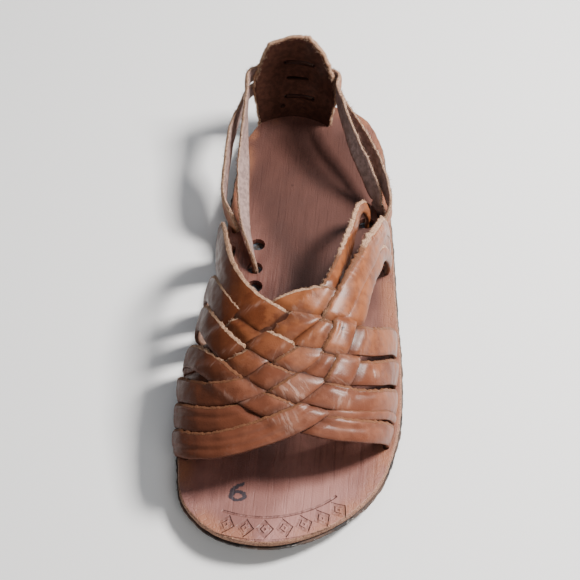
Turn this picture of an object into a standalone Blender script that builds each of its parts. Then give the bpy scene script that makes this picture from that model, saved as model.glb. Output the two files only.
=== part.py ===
"""A left huarache sandal of woven leather straps on a flat rubber sole.

The frame is metres with +Z up, the toe towards -Y, the heel towards +Y and the
outer side of the foot towards +X. The sandal stands on the plane z = 0.
Lengths below are in millimetres and are turned into metres where a mesh is made.
"""
import math

import bmesh
import bpy
import numpy as np

MM = 0.001

# Main sizes of the sole and the last.
LENGTH = 242.3
BALL_WIDTH = 92.0
INSTEP_HEIGHT = 66.0
TOE_SPRING = 6.0

# Sole layers.
OUTSOLE_THICKNESS = 3.8
HEEL_LIFT = 2.4
TOE_SKIVING = 1.2
ARCH_LIFT = 2.0
INSOLE_THICKNESS = 2.8
INSOLE_INSET = 0.8
EDGE_ROUNDING = 0.6
RIB_DEPTH = 0.6
BOTTOM_BEVEL = 2.0
TREAD_DEPTH = 1.0
TREAD_WIDTH = 2.6
TREAD_PITCH = 8.5
TREAD_MARGIN = 10.0

# Leather straps.
STRAP_WIDTH = 10.7
STRAP_THICKNESS = 1.8
WEAVE_RISE = 0.55
HEEL_STRAP_WIDTH = 7.8
HEEL_STRAP_GAP = 1.6
HEEL_STRAP_EASE = 0.25
KEEPER_WIDTH = 13.0
KEEPER_EASE = 0.8

# Seating of the straps in the insole.
FIT = 0.3
SLOT_INSET_INNER = 4.2
SLOT_INSET_OUTER = 4.4
BULGE_INNER = 4.0
BULGE_OUTER = 1.2
BULGE_HEIGHT = 9.0
SIDE_FULLNESS = 0.75
CREST_SHIFT = -3.0
DIVE_SHARE = 0.34
SEAT_CLEAR_ABOVE = 1.5
SEAT_CLEAR_BELOW = 2.0

# Heel counter.
COUNTER_THICKNESS = 2.6
COUNTER_WIDTH = 37.0
COUNTER_HEIGHT = 49.3
COUNTER_RADIUS = 24.0
COUNTER_BOW = 1.5
COUNTER_INSET = 6.95
SLIT_CLEAR = 0.5
MIDDLE_SLIT_WIDTH = 11.0
MIDDLE_SLIT_HEIGHT = 1.2

# Round holes in the insole.
HOLE_RADIUS = 3.3

# Places along the sole, as stations, and the power of the toe spring's curve.
HEEL_BREAST = (0.353, 0.361)
ARCH_END = (0.470, 0.580)
DECK_FALL = (0.340, 0.580)
TREAD_GAP = (0.330, 0.560)
TOE_START = 0.790
TOE_CURVE = 1.7

# Middle of the counter as a share of BALL_WIDTH, and heights on the counter as
# shares of COUNTER_HEIGHT over the insole: the middle between the heel straps.
COUNTER_ACROSS = -0.136
STRAPS_LEVEL = 0.458
# Middle of the slits across the counter, as a share of COUNTER_WIDTH.
SLIT_ACROSS = 0.054

# Sections along a vamp strap, along a heel strap and along the sole.
VAMP_SECTIONS = 28
HEEL_STRAP_SECTIONS = 50
SOLE_SECTIONS = 46

# Outline of the sole: station from the heel as a share of LENGTH,
# distance across as a share of BALL_WIDTH. It runs round the outer side first.
OUTLINE = (
    # station, across
    (0.000, -0.030),
    (0.030, 0.216),
    (0.101, 0.317),
    (0.202, 0.357),
    (0.354, 0.402),
    (0.506, 0.438),
    (0.637, 0.471),
    (0.765, 0.469),
    (0.883, 0.381),
    (0.961, 0.192),
    (1.000, -0.058),
    (0.985, -0.279),
    (0.931, -0.430),
    (0.843, -0.487),
    (0.728, -0.502),
    (0.586, -0.455),
    (0.445, -0.415),
    (0.303, -0.412),
    (0.182, -0.402),
    (0.091, -0.362),
    (0.030, -0.255),
)

# Height of the middle of the last: station, share of INSTEP_HEIGHT.
CREST = (
    # station, height
    (0.202, 1.250),
    (0.258, 1.180),
    (0.402, 1.000),
    (0.526, 0.894),
    (0.609, 0.803),
    (0.692, 0.712),
    (0.774, 0.606),
    (0.856, 0.500),
    (0.918, 0.424),
)

# Straps of the vamp: name, width as a share of STRAP_WIDTH, share of that width at
# the first end, middle line. Each row is a point of the middle line: position across
# the last from -1 (inner edge) to +1 (outer edge), station, and lift in mm.
# An end at -1 or +1 goes on down through its slot.
RIDGES = (
    ("outer_row_1", 1.22, 1.00, (
        (-1.00, 0.411, 0), (-0.86, 0.429, 1.0), (-0.74, 0.472, 1.0),
        (-0.59, 0.547, 0), (-0.37, 0.621, 0), (-0.18, 0.662, 0), (0.02, 0.688, 0),
        (0.20, 0.692, 0), (0.38, 0.688, 0), (0.58, 0.670, 0), (0.82, 0.629, 0),
        (1.00, 0.593, 0))),
    ("outer_row_2", 1.05, 1.00, (
        (-1.00, 0.526, 0), (-0.78, 0.555, 0), (-0.54, 0.617, 0),
        (-0.30, 0.678, 0), (-0.06, 0.720, 0), (0.11, 0.735, 0), (0.26, 0.739, 0),
        (0.42, 0.737, 0), (0.62, 0.720, 0), (0.84, 0.684, 0), (1.00, 0.654, 0))),
    ("outer_row_3", 1.00, 1.00, (
        (-1.00, 0.593, 0), (-0.78, 0.613, 0), (-0.56, 0.662, 0),
        (-0.36, 0.712, 0), (-0.20, 0.745, 0), (-0.04, 0.769, 0), (0.12, 0.780, 0),
        (0.30, 0.785, 0), (0.56, 0.774, 0), (0.82, 0.741, 0), (1.00, 0.712, 0))),
    ("outer_row_4", 0.92, 1.00, (
        (-1.00, 0.666, 0), (-0.78, 0.688, 0), (-0.50, 0.732, 0),
        (-0.27, 0.778, 0), (-0.08, 0.807, 0), (0.10, 0.823, 0), (0.31, 0.831, 0),
        (0.58, 0.821, 0), (0.82, 0.799, 0), (1.00, 0.778, 0))),
)
CROSSERS = (
    ("throat_strap", 1.12, 0.45, (
        (1.00, 0.396, -1.3), (0.80, 0.432, -1.3),
        (0.65, 0.487, -1.3), (0.51, 0.562, -1.3), (0.42, 0.603, -0.8),
        (0.32, 0.629, 0), (0.20, 0.636, 0), (0.06, 0.648, 0), (-0.10, 0.668, 0),
        (-0.28, 0.690, 0), (-0.42, 0.704, -0.4), (-0.62, 0.708, -1.3),
        (-0.84, 0.688, -1.3), (-1.00, 0.670, -1.3))),
    ("inner_row_1", 0.95, 0.50, (
        (1.00, 0.309, -7.4), (0.93, 0.317, -8.5),
        (0.83, 0.349, -10.0), (0.74, 0.396, -10.5), (0.64, 0.450, -10.0),
        (0.50, 0.511, -8.5), (0.36, 0.571, -4.5), (0.26, 0.617, -0.8),
        (0.14, 0.658, 0), (0.02, 0.688, 0), (-0.08, 0.718, 0), (-0.21, 0.745, 0),
        (-0.40, 0.759, -0.4), (-0.66, 0.745, -1.3), (-0.86, 0.726, -1.3),
        (-1.00, 0.716, -1.3))),
    ("inner_row_2", 0.92, 0.80, (
        (1.00, 0.365, 0), (0.84, 0.394, 0), (0.66, 0.464, 0),
        (0.54, 0.522, 0), (0.41, 0.588, 0), (0.32, 0.642, 0), (0.24, 0.692, 0),
        (0.11, 0.735, 0), (-0.04, 0.765, 0), (-0.22, 0.787, 0), (-0.42, 0.787, 0),
        (-0.66, 0.765, 0), (-0.86, 0.737, 0), (-1.00, 0.718, 0))),
    ("inner_row_3", 0.92, 0.50, (
        (1.00, 0.396, 0), (0.80, 0.432, 0), (0.65, 0.487, 0),
        (0.50, 0.568, 0), (0.39, 0.637, 0), (0.34, 0.692, 0), (0.26, 0.739, 0),
        (0.11, 0.782, 0), (-0.08, 0.815, 0), (-0.30, 0.829, 0), (-0.54, 0.821, 0),
        (-0.78, 0.795, 0), (-1.00, 0.767, 0))),
    ("inner_row_4", 0.98, 0.50, (
        (1.00, 0.421, 0), (0.81, 0.456, 0), (0.66, 0.511, 0),
        (0.53, 0.567, 0), (0.45, 0.632, 0), (0.42, 0.692, 0), (0.38, 0.741, 0),
        (0.30, 0.787, 0), (0.18, 0.821, 0), (-0.04, 0.852, 0), (-0.30, 0.869, 0),
        (-0.56, 0.863, 0), (-0.80, 0.840, 0), (-1.00, 0.821, 0))),
)

# Narrow strap that comes out from under the last crossing strap.
EXTRAS = (
    ("outer_row_thin", 0.36, 1.00, (
        (0.20, 0.812, -1.0), (0.32, 0.811, -0.8), (0.46, 0.805, 0), (0.64, 0.790, 0),
        (0.84, 0.765, 0), (1.00, 0.746, 0))),
)

# Shares of a strap's length where the taper of an end starts and stops.
TAPER = (0.03, 0.30)

# Extra layers where two crossing straps meet each other: upper strap, lower strap.
OVERLAPS = (
    ("throat_strap", "inner_row_1"),
    ("inner_row_2", "throat_strap"),
)
# Pairs that lie doubled in one slot, so that no weave is worked out for them.
DOUBLED = (("outer_row_4", "throat_strap"),)

# Round holes of the insole: across as a share of BALL_WIDTH, station. A heel strap
# goes down one of them, and so does the first inner row at the outer side.
INNER_STRAP_HOLE = (-0.249, 0.431)
INSOLE_HOLES = (
    (-0.250, 0.377),
    INNER_STRAP_HOLE,
    (-0.240, 0.472),
    (0.240, 0.271),
    (0.285, 0.349),
)
STRAP_WITH_HOLE = "inner_row_1"

# Heel straps beyond the counter: name, side of the middle level (+1 above), the
# outer side and the inner side, and the width shares of the two ends. A side is its
# foot (across, station) and rows from the counter's edge to that foot: share of the
# way along, bulge off the straight line as a share of BALL_WIDTH, share of the height
# over the insole, and lean in degrees.
HEEL_STRAPS = (
    ("heel_strap_upper", 1.0,
     (0.322, 0.280), (
         # along, bulge, height, lean
         (0.137, -0.033, 0.976, 0.0),
         (0.293, -0.044, 0.923, 8.0),
         (0.458, -0.046, 0.824, 15.0),
         (0.636, -0.042, 0.684, 25.0),
         (0.792, -0.026, 0.524, 32.0),
         (0.913, -0.010, 0.319, 28.0),
         (0.987, -0.004, 0.116, 8.0),
         (1.000, 0.000, 0.022, 0.0),
     ),
     INNER_STRAP_HOLE, (
         (0.135, -0.020, 0.985, 0.0),
         (0.287, -0.035, 0.800, 12.0),
         (0.458, -0.045, 0.552, 30.0),
         (0.633, -0.051, 0.372, 40.0),
         (0.785, -0.045, 0.237, 40.0),
         (0.903, -0.024, 0.166, 25.0),
         (0.984, -0.005, 0.095, 5.0),
         (1.000, 0.000, 0.026, 0.0),
     ),
     (0.85, 0.57)),
    ("heel_strap_lower", -1.0,
     (0.354, 0.316), (
         (0.061, 0.002, 1.000, 0.0),
         (0.253, 0.012, 1.000, 5.0),
         (0.470, 0.034, 0.904, 10.0),
         (0.692, 0.046, 0.793, 15.0),
         (0.876, 0.041, 0.598, 10.0),
         (0.959, 0.024, 0.284, 0.0),
         (1.000, 0.000, 0.034, 0.0),
     ),
     (-0.373, 0.338), (
         (0.178, -0.036, 0.990, 0.0),
         (0.379, -0.062, 0.950, 5.0),
         (0.577, -0.064, 0.900, 8.0),
         (0.764, -0.061, 0.764, 8.0),
         (0.899, -0.053, 0.458, 4.0),
         (0.979, -0.014, 0.144, 0.0),
         (1.000, 0.000, 0.010, 0.0),
     ),
     (0.85, 0.85)),
)

# Edge of the counter: height over the insole as a share of COUNTER_HEIGHT, inner and
# outer side as shares of COUNTER_WIDTH.
COUNTER_OUTLINE = (
    # height, inner, outer
    (0.000, -0.392, 0.392),
    (0.122, -0.449, 0.454),
    (0.264, -0.492, 0.495),
    (0.507, -0.500, 0.500),
    (0.751, -0.403, 0.405),
    (0.903, -0.327, 0.316),
    (1.000, -0.232, 0.141),
)

MATERIALS = {
    # name: red, green, blue, roughness
    "rubber_dark": (0.035, 0.030, 0.028, 0.85),
    "leather_insole": (0.36, 0.17, 0.12, 0.60),
    "leather_strap": (0.42, 0.18, 0.07, 0.45),
    "leather_counter": (0.10, 0.045, 0.03, 0.80),
    "leather_heel_strap": (0.40, 0.28, 0.22, 0.80),
    "leather_keeper": (0.38, 0.16, 0.07, 0.50),
}

HEEL_END = LENGTH / 2
COUNTER_X = COUNTER_ACROSS * BALL_WIDTH
COUNTER_BACK = HEEL_END - COUNTER_INSET
# Depth of the middle of the heel straps behind the counter.
HEEL_STRAP_DEPTH = FIT + HEEL_STRAP_EASE + STRAP_THICKNESS / 2
SMALL = 1e-6
# Move across that puts the origin under the middle of the whole sandal.
CENTRE_SHIFT = 1.5


def smooth(rows, count, closed=False):
    """Return points of a chord-length cubic curve through the rows."""
    points = np.array(rows, float)
    if closed:
        points = np.vstack([points[-2:], points, points[:3]])
    steps = np.linalg.norm(np.diff(points, axis=0), axis=1)
    at = np.concatenate([[0.0], np.cumsum(np.maximum(steps, SMALL))])
    slopes = np.diff(points, axis=0) / np.diff(at)[:, None]
    tangents = np.empty_like(points)
    tangents[0] = slopes[0]
    tangents[-1] = slopes[-1]
    before = np.diff(at)[:-1, None]
    after = np.diff(at)[1:, None]
    tangents[1:-1] = (slopes[:-1] * after + slopes[1:] * before) / (before + after)
    low = at[2] if closed else at[0]
    high = at[-3] if closed else at[-1]
    wanted = np.linspace(low, high, count, endpoint=not closed)
    span = np.clip(np.searchsorted(at, wanted, side="right") - 1, 0, len(points) - 2)
    width = (at[span + 1] - at[span])[:, None]
    t = (wanted - at[span])[:, None] / width
    start = (2 * t**3 - 3 * t**2 + 1) * points[span]
    start_pull = (t**3 - 2 * t**2 + t) * width * tangents[span]
    end = (-2 * t**3 + 3 * t**2) * points[span + 1]
    end_pull = (t**3 - t**2) * width * tangents[span + 1]
    return start + start_pull + end + end_pull


def ease(value, low, high):
    """Return a smooth step from 0 at low to 1 at high."""
    t = np.clip((value - low) / (high - low), 0.0, 1.0)
    return t * t * (3 - 2 * t)


def station_of(y):
    """Return the station share of a y in mm."""
    return (HEEL_END - y) / LENGTH


def toe_rise(station):
    """Return how far the toe spring lifts the sole at a station, in mm."""
    share = np.clip((station - TOE_START) / (1 - TOE_START), 0.0, None)
    return TOE_SPRING * share**TOE_CURVE


def ground(station):
    """Return the height of the underside of the sole at a station, in mm."""
    arch = ARCH_LIFT * ease(station, *HEEL_BREAST) * (1 - ease(station, *ARCH_END))
    return arch + toe_rise(station)


def deck(station):
    """Return the height of the top of the outsole at a station, in mm."""
    skived = TOE_SKIVING * ease(station, TOE_START, 1.0)
    heel = HEEL_LIFT * (1 - ease(station, *DECK_FALL))
    return OUTSOLE_THICKNESS + heel + toe_rise(station) - skived


def bed(station):
    """Return the height of the top of the insole at a station, in mm."""
    return deck(station) + FIT + INSOLE_THICKNESS


def outline_loop(inset):
    """Return the closed outline of the sole, moved inwards by inset mm."""
    rows = [(x * BALL_WIDTH, HEEL_END - s * LENGTH) for s, x in OUTLINE]
    loop = smooth(rows, 10 * SOLE_SECTIONS, closed=True)
    ahead = np.roll(loop, -1, axis=0) - np.roll(loop, 1, axis=0)
    ahead /= np.linalg.norm(ahead, axis=1)[:, None]
    inward = np.stack([ahead[:, 1], -ahead[:, 0]], axis=1)
    middle = loop.mean(axis=0)
    turn = np.sign(np.sum(inward * (middle - loop)))
    return loop + inward * turn * inset


def outline_sides(inset):
    """Return the outer and the inner side of the outline, each from heel to toe."""
    loop = outline_loop(inset)
    first = int(np.argmax(loop[:, 1]))
    loop = np.roll(loop, -first, axis=0)
    last = int(np.argmin(loop[:, 1]))
    one = loop[:last + 1]
    other = np.vstack([loop[last:], loop[:1]])[::-1]
    if one[last // 2, 0] < other[len(other) // 2, 0]:
        one, other = other, one
    return one, other


OUTER_SIDE, INNER_SIDE = outline_sides(0.0)


def side_x(side, y):
    """Return the x of one side of the outline at a y, in mm."""
    return np.interp(-np.asarray(y), -side[:, 1], side[:, 0])


def new_object(name, vertices, faces, material):
    """Make a closed mesh object from points in mm, moved to the frame's origin."""
    mesh = bpy.data.meshes.new(name)
    points = (np.array(vertices, float) + (CENTRE_SHIFT, 0.0, 0.0)) * MM
    mesh.from_pydata(points.tolist(), [], faces)
    work = bmesh.new()
    work.from_mesh(mesh)
    bmesh.ops.recalc_face_normals(work, faces=work.faces)
    work.to_mesh(mesh)
    work.free()
    made = bpy.data.objects.new(name, mesh)
    bpy.context.scene.collection.objects.link(made)
    if material:
        mesh.materials.append(bpy.data.materials[material])
    return made


def make_material(name):
    """Make a Principled material from the table of materials."""
    red, green, blue, roughness = MATERIALS[name]
    material = bpy.data.materials.new(name)
    material.use_nodes = True
    shader = material.node_tree.nodes["Principled BSDF"]
    shader.inputs["Base Color"].default_value = (red, green, blue, 1.0)
    shader.inputs["Roughness"].default_value = roughness


def layer(name, rings, material):
    """Loft a flat layer through rings of (inset, height function)."""
    count = SOLE_SECTIONS
    shares = (1 - np.cos(np.pi * np.arange(count + 1) / count)) / 2
    vertices = []
    for inset, height in rings:
        outer, inner = outline_sides(inset)
        top = outer[0, 1]
        ys = top + (outer[-1, 1] - top) * shares
        xs_outer = side_x(outer, ys)
        xs_inner = side_x(inner, ys)
        zs = height(station_of(ys))
        for k in range(count + 1):
            vertices.append((xs_outer[k], ys[k], zs[k]))
        for k in range(count - 1, 0, -1):
            vertices.append((xs_inner[k], ys[k], zs[k]))
    size = 2 * count
    faces = []
    for ring in range(len(rings) - 1):
        for k in range(size):
            a = ring * size + k
            b = ring * size + (k + 1) % size
            faces.append((a, b, b + size, a + size))
    for start in (0, (len(rings) - 1) * size):
        faces.append((start, start + 1, start + size - 1))
        for k in range(1, count - 1):
            faces.append((start + k, start + k + 1, start + size - k - 1, start + size - k))
        faces.append((start + count - 1, start + count, start + count + 1))
    return new_object(name, vertices, faces, material)


def last_point(across, station, lift):
    """Return points on the last, in mm; lift moves them off it along its normal."""
    base = raw_last_point(across, station)
    return base + last_normal(across, station) * np.asarray(lift, float)[..., None]


def raw_last_point(across, station):
    """Return points on the surface of the last, in mm."""
    across = np.asarray(across, float)
    station = np.asarray(station, float)
    y = HEEL_END - station * LENGTH
    inner = side_x(INNER_SIDE, y) + SLOT_INSET_INNER
    outer = side_x(OUTER_SIDE, y) - SLOT_INSET_OUTER
    angle = np.clip(across, -1.0, 1.0) * math.pi / 2
    stations = [row[0] for row in CREST]
    heights = [row[1] * INSTEP_HEIGHT for row in CREST]
    floor = bed(station)
    crown = np.maximum(np.cos(angle), 0.0)
    rise = (np.interp(station, stations, heights) - floor) * crown**SIDE_FULLNESS
    share = rise / BULGE_HEIGHT
    bulge = np.where(across < 0, -BULGE_INNER, BULGE_OUTER) * share * np.exp(1 - share)
    middle = (inner + outer) / 2 + CREST_SHIFT * crown
    x = middle + (outer - inner) / 2 * np.sin(angle) + bulge
    z = floor + rise - np.clip(np.abs(across) - 1.0, 0.0, None) * INSOLE_THICKNESS / DIVE_SHARE
    return np.stack([x, y, z], axis=-1)


def last_slopes(across, station):
    """Return how the surface of the last moves with each of its two parameters."""
    step = 0.004  # a small move of either parameter
    by_across = raw_last_point(across + step, station) - raw_last_point(across - step, station)
    by_station = raw_last_point(across, station + step) - raw_last_point(across, station - step)
    return by_across / (2 * step), by_station / (2 * step)


def unit(vectors):
    """Return vectors of length one."""
    vectors = np.asarray(vectors, float)
    return vectors / np.maximum(np.linalg.norm(vectors, axis=-1, keepdims=True), SMALL)


def last_normal(across, station):
    """Return the outward normal of the last."""
    by_across, by_station = last_slopes(np.asarray(across, float), np.asarray(station, float))
    return unit(np.cross(by_station, by_across))


def by_length(rows, position, count):
    """Pick count rows at equal steps of length along their positions."""
    steps = np.linalg.norm(np.diff(position, axis=0), axis=1)
    at = np.concatenate([[0.0], np.cumsum(steps)])
    wanted = np.linspace(0.0, at[-1], count)
    return np.stack([np.interp(wanted, at, column) for column in rows.T], axis=1)


def strap_rows(table, count):
    """Return rows of across, station, lift and direction (x, y, z) of a vamp strap."""
    table = list(table)
    for end in (0, -1):
        across, station, lift = table[end]
        if abs(across) == 1.0:
            foot = (across * (1 + DIVE_SHARE), station, lift)
            table.insert(0 if end == 0 else len(table), foot)
    scaled = [(a * BALL_WIDTH / 2, s * LENGTH, h) for a, s, h in table]
    rows = smooth(scaled, 20 * count)
    rows[:, 0] /= BALL_WIDTH / 2
    rows[:, 1] /= LENGTH
    centre = last_point(rows[:, 0], rows[:, 1], rows[:, 2])
    ahead = unit(np.gradient(centre, axis=0))
    return by_length(np.hstack([rows, ahead]), centre, count)


def crossings(first, second):
    """Return the row numbers where two straps cross on the last, off its edges."""
    scale = np.array([BALL_WIDTH / 2, LENGTH])
    one = first[:, :2] * scale
    two = second[:, :2] * scale
    found = []
    for i in range(len(one) - 1):
        step = one[i + 1] - one[i]
        edge = two[1:] - two[:-1]
        gap = two[:-1] - one[i]
        area = step[0] * edge[:, 1] - step[1] * edge[:, 0]
        area = np.where(np.abs(area) < SMALL, SMALL, area)
        t = (gap[:, 0] * edge[:, 1] - gap[:, 1] * edge[:, 0]) / area
        u = (gap[:, 0] * step[1] - gap[:, 1] * step[0]) / area
        for j in np.nonzero((t >= 0) & (t < 1) & (u >= 0) & (u < 1))[0]:
            if abs(first[i, 0]) < 0.97:
                found.append((i, int(j)))
    return found


def weave(straps):
    """Add the over and under lifts at every crossing to the rows of the straps."""
    marks = {name: [] for name in straps}
    ridges = [row[0] for row in RIDGES]
    crossers = [row[0] for row in CROSSERS]
    pairs = []
    for i, ridge in enumerate(ridges):
        for j, crosser in enumerate(crossers):
            if (ridge, crosser) in DOUBLED:
                continue
            upper_first = (i + j) % 2 == 0
            pairs.append((ridge, crosser) if upper_first else (crosser, ridge))
    pairs.extend(OVERLAPS)
    for upper, lower in pairs:
        for at_upper, at_lower in crossings(straps[upper], straps[lower]):
            marks[upper].append((at_upper, WEAVE_RISE))
            marks[lower].append((at_lower, -WEAVE_RISE))
    for name, rows in straps.items():
        points = sorted(marks[name])
        if not points:
            continue
        places = [0.0] + [float(p[0]) for p in points] + [float(len(rows) - 1)]
        rises = [0.0] + [p[1] for p in points] + [0.0]
        number = np.arange(len(rows))
        span = np.clip(np.searchsorted(places, number, side="right") - 1, 0, len(places) - 2)
        low = np.array(places)[span]
        high = np.maximum(np.array(places)[span + 1], low + SMALL)
        t = np.clip((number - low) / (high - low), 0.0, 1.0)
        blend = t * t * (3 - 2 * t)
        levels = np.array(rises)
        rows[:, 2] += levels[span] * (1 - blend) + levels[span + 1] * blend


def rails_on_last(rows, widths):
    """Return the three rails of a strap and their normals on the last."""
    across, station, lift = rows[:, :3].T
    sideways = unit(np.cross(rows[:, 3:], last_normal(across, station)))
    by_across, by_station = last_slopes(across, station)
    aa = np.sum(by_across * by_across, axis=1)
    bb = np.sum(by_station * by_station, axis=1)
    ab = np.sum(by_across * by_station, axis=1)
    det = aa * bb - ab * ab
    rails = []
    normals = []
    for share in (-0.5, 0.0, 0.5):
        move = sideways * (widths * share)[:, None]
        pa = np.sum(by_across * move, axis=1)
        pb = np.sum(by_station * move, axis=1)
        a = np.clip(across + (bb * pa - ab * pb) / det, -1 - DIVE_SHARE, 1 + DIVE_SHARE)
        s = station + (aa * pb - ab * pa) / det
        rails.append(last_point(a, s, lift))
        normals.append(last_normal(a, s))
    return np.stack(rails, axis=1), np.stack(normals, axis=1)


def ribbon(name, rails, normals, thickness, material):
    """Make a closed strap from rails of points and normals."""
    sections, lanes = rails.shape[:2]
    upper = rails + normals * thickness / 2
    lower = rails - normals * thickness / 2
    ring = np.concatenate([upper, lower[:, ::-1]], axis=1)
    size = 2 * lanes
    faces = []
    for k in range(sections - 1):
        for j in range(size):
            a = k * size + j
            b = k * size + (j + 1) % size
            faces.append((a, b, b + size, a + size))
    for start in (0, (sections - 1) * size):
        for j in range(lanes - 1):
            faces.append((start + j, start + j + 1, start + size - 2 - j, start + size - 1 - j))
    return new_object(name, ring.reshape(-1, 3), faces, material)


def combine(base, others, operation, solver="EXACT"):
    """Join or cut a solid with others and keep the result in the base."""
    for other in others:
        other.hide_render = True
        other.display_type = "WIRE"
        step = base.modifiers.new(operation.lower(), "BOOLEAN")
        step.operation = operation
        step.solver = solver
        step.object = other
    bpy.context.view_layer.update()
    depsgraph = bpy.context.evaluated_depsgraph_get()
    result = bpy.data.meshes.new_from_object(base.evaluated_get(depsgraph))
    base.modifiers.clear()
    old = base.data
    base.data = result
    result.name = base.name
    bpy.data.meshes.remove(old)
    for other in others:
        bpy.data.objects.remove(other, do_unlink=True)
    clean(base)


def clean(made):
    """Remove the crumbs that a join leaves loose beside the main body."""
    work = bmesh.new()
    work.from_mesh(made.data)
    work.verts.ensure_lookup_table()
    seen = set()
    groups = []
    for vertex in work.verts:
        if vertex.index in seen:
            continue
        seen.add(vertex.index)
        group = []
        waiting = [vertex]
        while waiting:
            here = waiting.pop()
            group.append(here)
            for edge in here.link_edges:
                there = edge.other_vert(here)
                if there.index not in seen:
                    seen.add(there.index)
                    waiting.append(there)
        groups.append(group)
    largest = max(len(group) for group in groups)
    crumbs = [vertex for group in groups if len(group) < largest for vertex in group]
    bmesh.ops.delete(work, geom=crumbs, context="VERTS")
    work.to_mesh(made.data)
    work.free()


def counter_point(across, depth, height):
    """Return a point of the counter, at a depth behind it and a height over its foot."""
    across = np.asarray(across, float)
    slope = across / COUNTER_RADIUS
    normal = unit(np.stack([slope, np.ones_like(slope)], axis=-1))
    share = np.clip(height / COUNTER_HEIGHT, 0.0, 1.0)
    depth = depth + COUNTER_BOW * np.sin(math.pi * share)
    x = COUNTER_X + across + normal[..., 0] * depth
    y = COUNTER_BACK - across**2 / (2 * COUNTER_RADIUS) + normal[..., 1] * depth
    level = counter_foot() + height
    return np.stack([x, y, np.broadcast_to(level, x.shape)], axis=-1)


def counter_foot():
    """Return the height of the insole's top at the counter, in mm."""
    return float(bed(station_of(COUNTER_BACK)))


def strap_level(side):
    """Return the height over the insole of a heel strap's middle on the counter."""
    middle = STRAPS_LEVEL * COUNTER_HEIGHT
    return middle + side * (HEEL_STRAP_WIDTH + HEEL_STRAP_GAP) / 2


def keeper_level(side):
    """Return the height over the insole of one end of the keeper."""
    clear = HEEL_STRAP_WIDTH / 2 + (STRAP_THICKNESS + HEEL_STRAP_GAP) / 2
    return strap_level(side) + side * clear


def counter_solid(name, grow, low, high, material):
    """Make the counter between two heights, or its cutter when it is grown by a fit."""
    table = np.array(COUNTER_OUTLINE) * (COUNTER_HEIGHT, COUNTER_WIDTH, COUNTER_WIDTH)
    inside = table[(table[:, 0] > low + SMALL) & (table[:, 0] < high - SMALL), 0]
    heights = np.concatenate([[low], inside, [high]])
    columns = 11
    vertices = []
    for depth in (grow, -COUNTER_THICKNESS - grow):
        for height in heights:
            inner = np.interp(height, table[:, 0], table[:, 1]) - grow
            outer = np.interp(height, table[:, 0], table[:, 2]) + grow
            across = np.linspace(inner, outer, columns)
            vertices.extend(counter_point(across, depth, height))
    rows = len(heights)
    back = rows * columns
    faces = []
    for r in range(rows - 1):
        for c in range(columns - 1):
            a = r * columns + c
            faces.append((a, a + 1, a + 1 + columns, a + columns))
            faces.append((back + a, back + a + columns, back + a + columns + 1, back + a + 1))
    for r in range(rows - 1):
        for c in (0, columns - 1):
            a = r * columns + c
            faces.append((a, a + columns, back + a + columns, back + a))
    for r in (0, rows - 1):
        for c in range(columns - 1):
            a = r * columns + c
            faces.append((a, a + 1, back + a + 1, back + a))
    return new_object(name, vertices, faces, material)


def box(name, centre, sizes, turn=0.0):
    """Make a box cutter, turned about the vertical by an angle in radians."""
    vertices = []
    for k in range(8):
        x = (k & 1) * 2 - 1
        y = (k >> 1 & 1) * 2 - 1
        z = (k >> 2 & 1) * 2 - 1
        px, py, pz = x * sizes[0] / 2, y * sizes[1] / 2, z * sizes[2] / 2
        vertices.append((
            centre[0] + px * math.cos(turn) - py * math.sin(turn),
            centre[1] + px * math.sin(turn) + py * math.cos(turn),
            centre[2] + pz,
        ))
    faces = [(0, 1, 3, 2), (4, 6, 7, 5), (0, 4, 5, 1), (2, 3, 7, 6), (0, 2, 6, 4), (1, 5, 7, 3)]
    return new_object(name, vertices, faces, None)


def cylinder(name, centre, radius, low, high):
    """Make an upright round cutter."""
    sides = 20
    vertices = []
    for z in (low, high):
        for k in range(sides):
            angle = 2 * math.pi * k / sides
            vertices.append((
                centre[0] + radius * math.cos(angle),
                centre[1] + radius * math.sin(angle),
                z,
            ))
    faces = [tuple(range(sides)), tuple(range(2 * sides - 1, sides - 1, -1))]
    for k in range(sides):
        after = (k + 1) % sides
        faces.append((k, after, after + sides, k + sides))
    return new_object(name, vertices, faces, None)


def seat_cutter(name, rails, normals, thickness):
    """Make the cutter for the slot of a strap that ends with its last section."""
    centre = rails[:, rails.shape[1] // 2]
    floor = bed(station_of(centre[-1, 1]))
    above = np.nonzero(centre[:, 2] > floor + SEAT_CLEAR_ABOVE)[0]
    start = int(above[-1])
    cut = rails[start:].copy()
    side = unit(cut[:, -1] - cut[:, 0])
    cut[:, 0] -= side * FIT
    cut[:, -1] += side * FIT
    deeper = cut[-1:].copy()
    deeper[:, :, 2] -= SEAT_CLEAR_BELOW
    cut = np.concatenate([cut, deeper])
    facing = np.concatenate([normals[start:], normals[-1:]])
    return ribbon(name, cut, facing, thickness + 2 * FIT, None)


def both_seats(name, rails, normals, thickness):
    """Make the slot cutters of the ends of a strap that reach the insole."""
    cutters = []
    for side in (1, -1):
        end = rails[::side][-1, 0]
        if end[2] < bed(station_of(end[1])):
            label = name + "_seat_" + str(len(cutters))
            cutters.append(seat_cutter(label, rails[::side], normals[::side], thickness))
    return cutters


def tapered(count, width, start_share, end_share):
    """Return widths that narrow towards the two ends of a strap."""
    at = np.linspace(0.0, 1.0, count)
    from_start = start_share + (1 - start_share) * ease(at, *TAPER)
    from_end = end_share + (1 - end_share) * ease(1 - at, *TAPER)
    return width * np.minimum(from_start, from_end)


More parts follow.
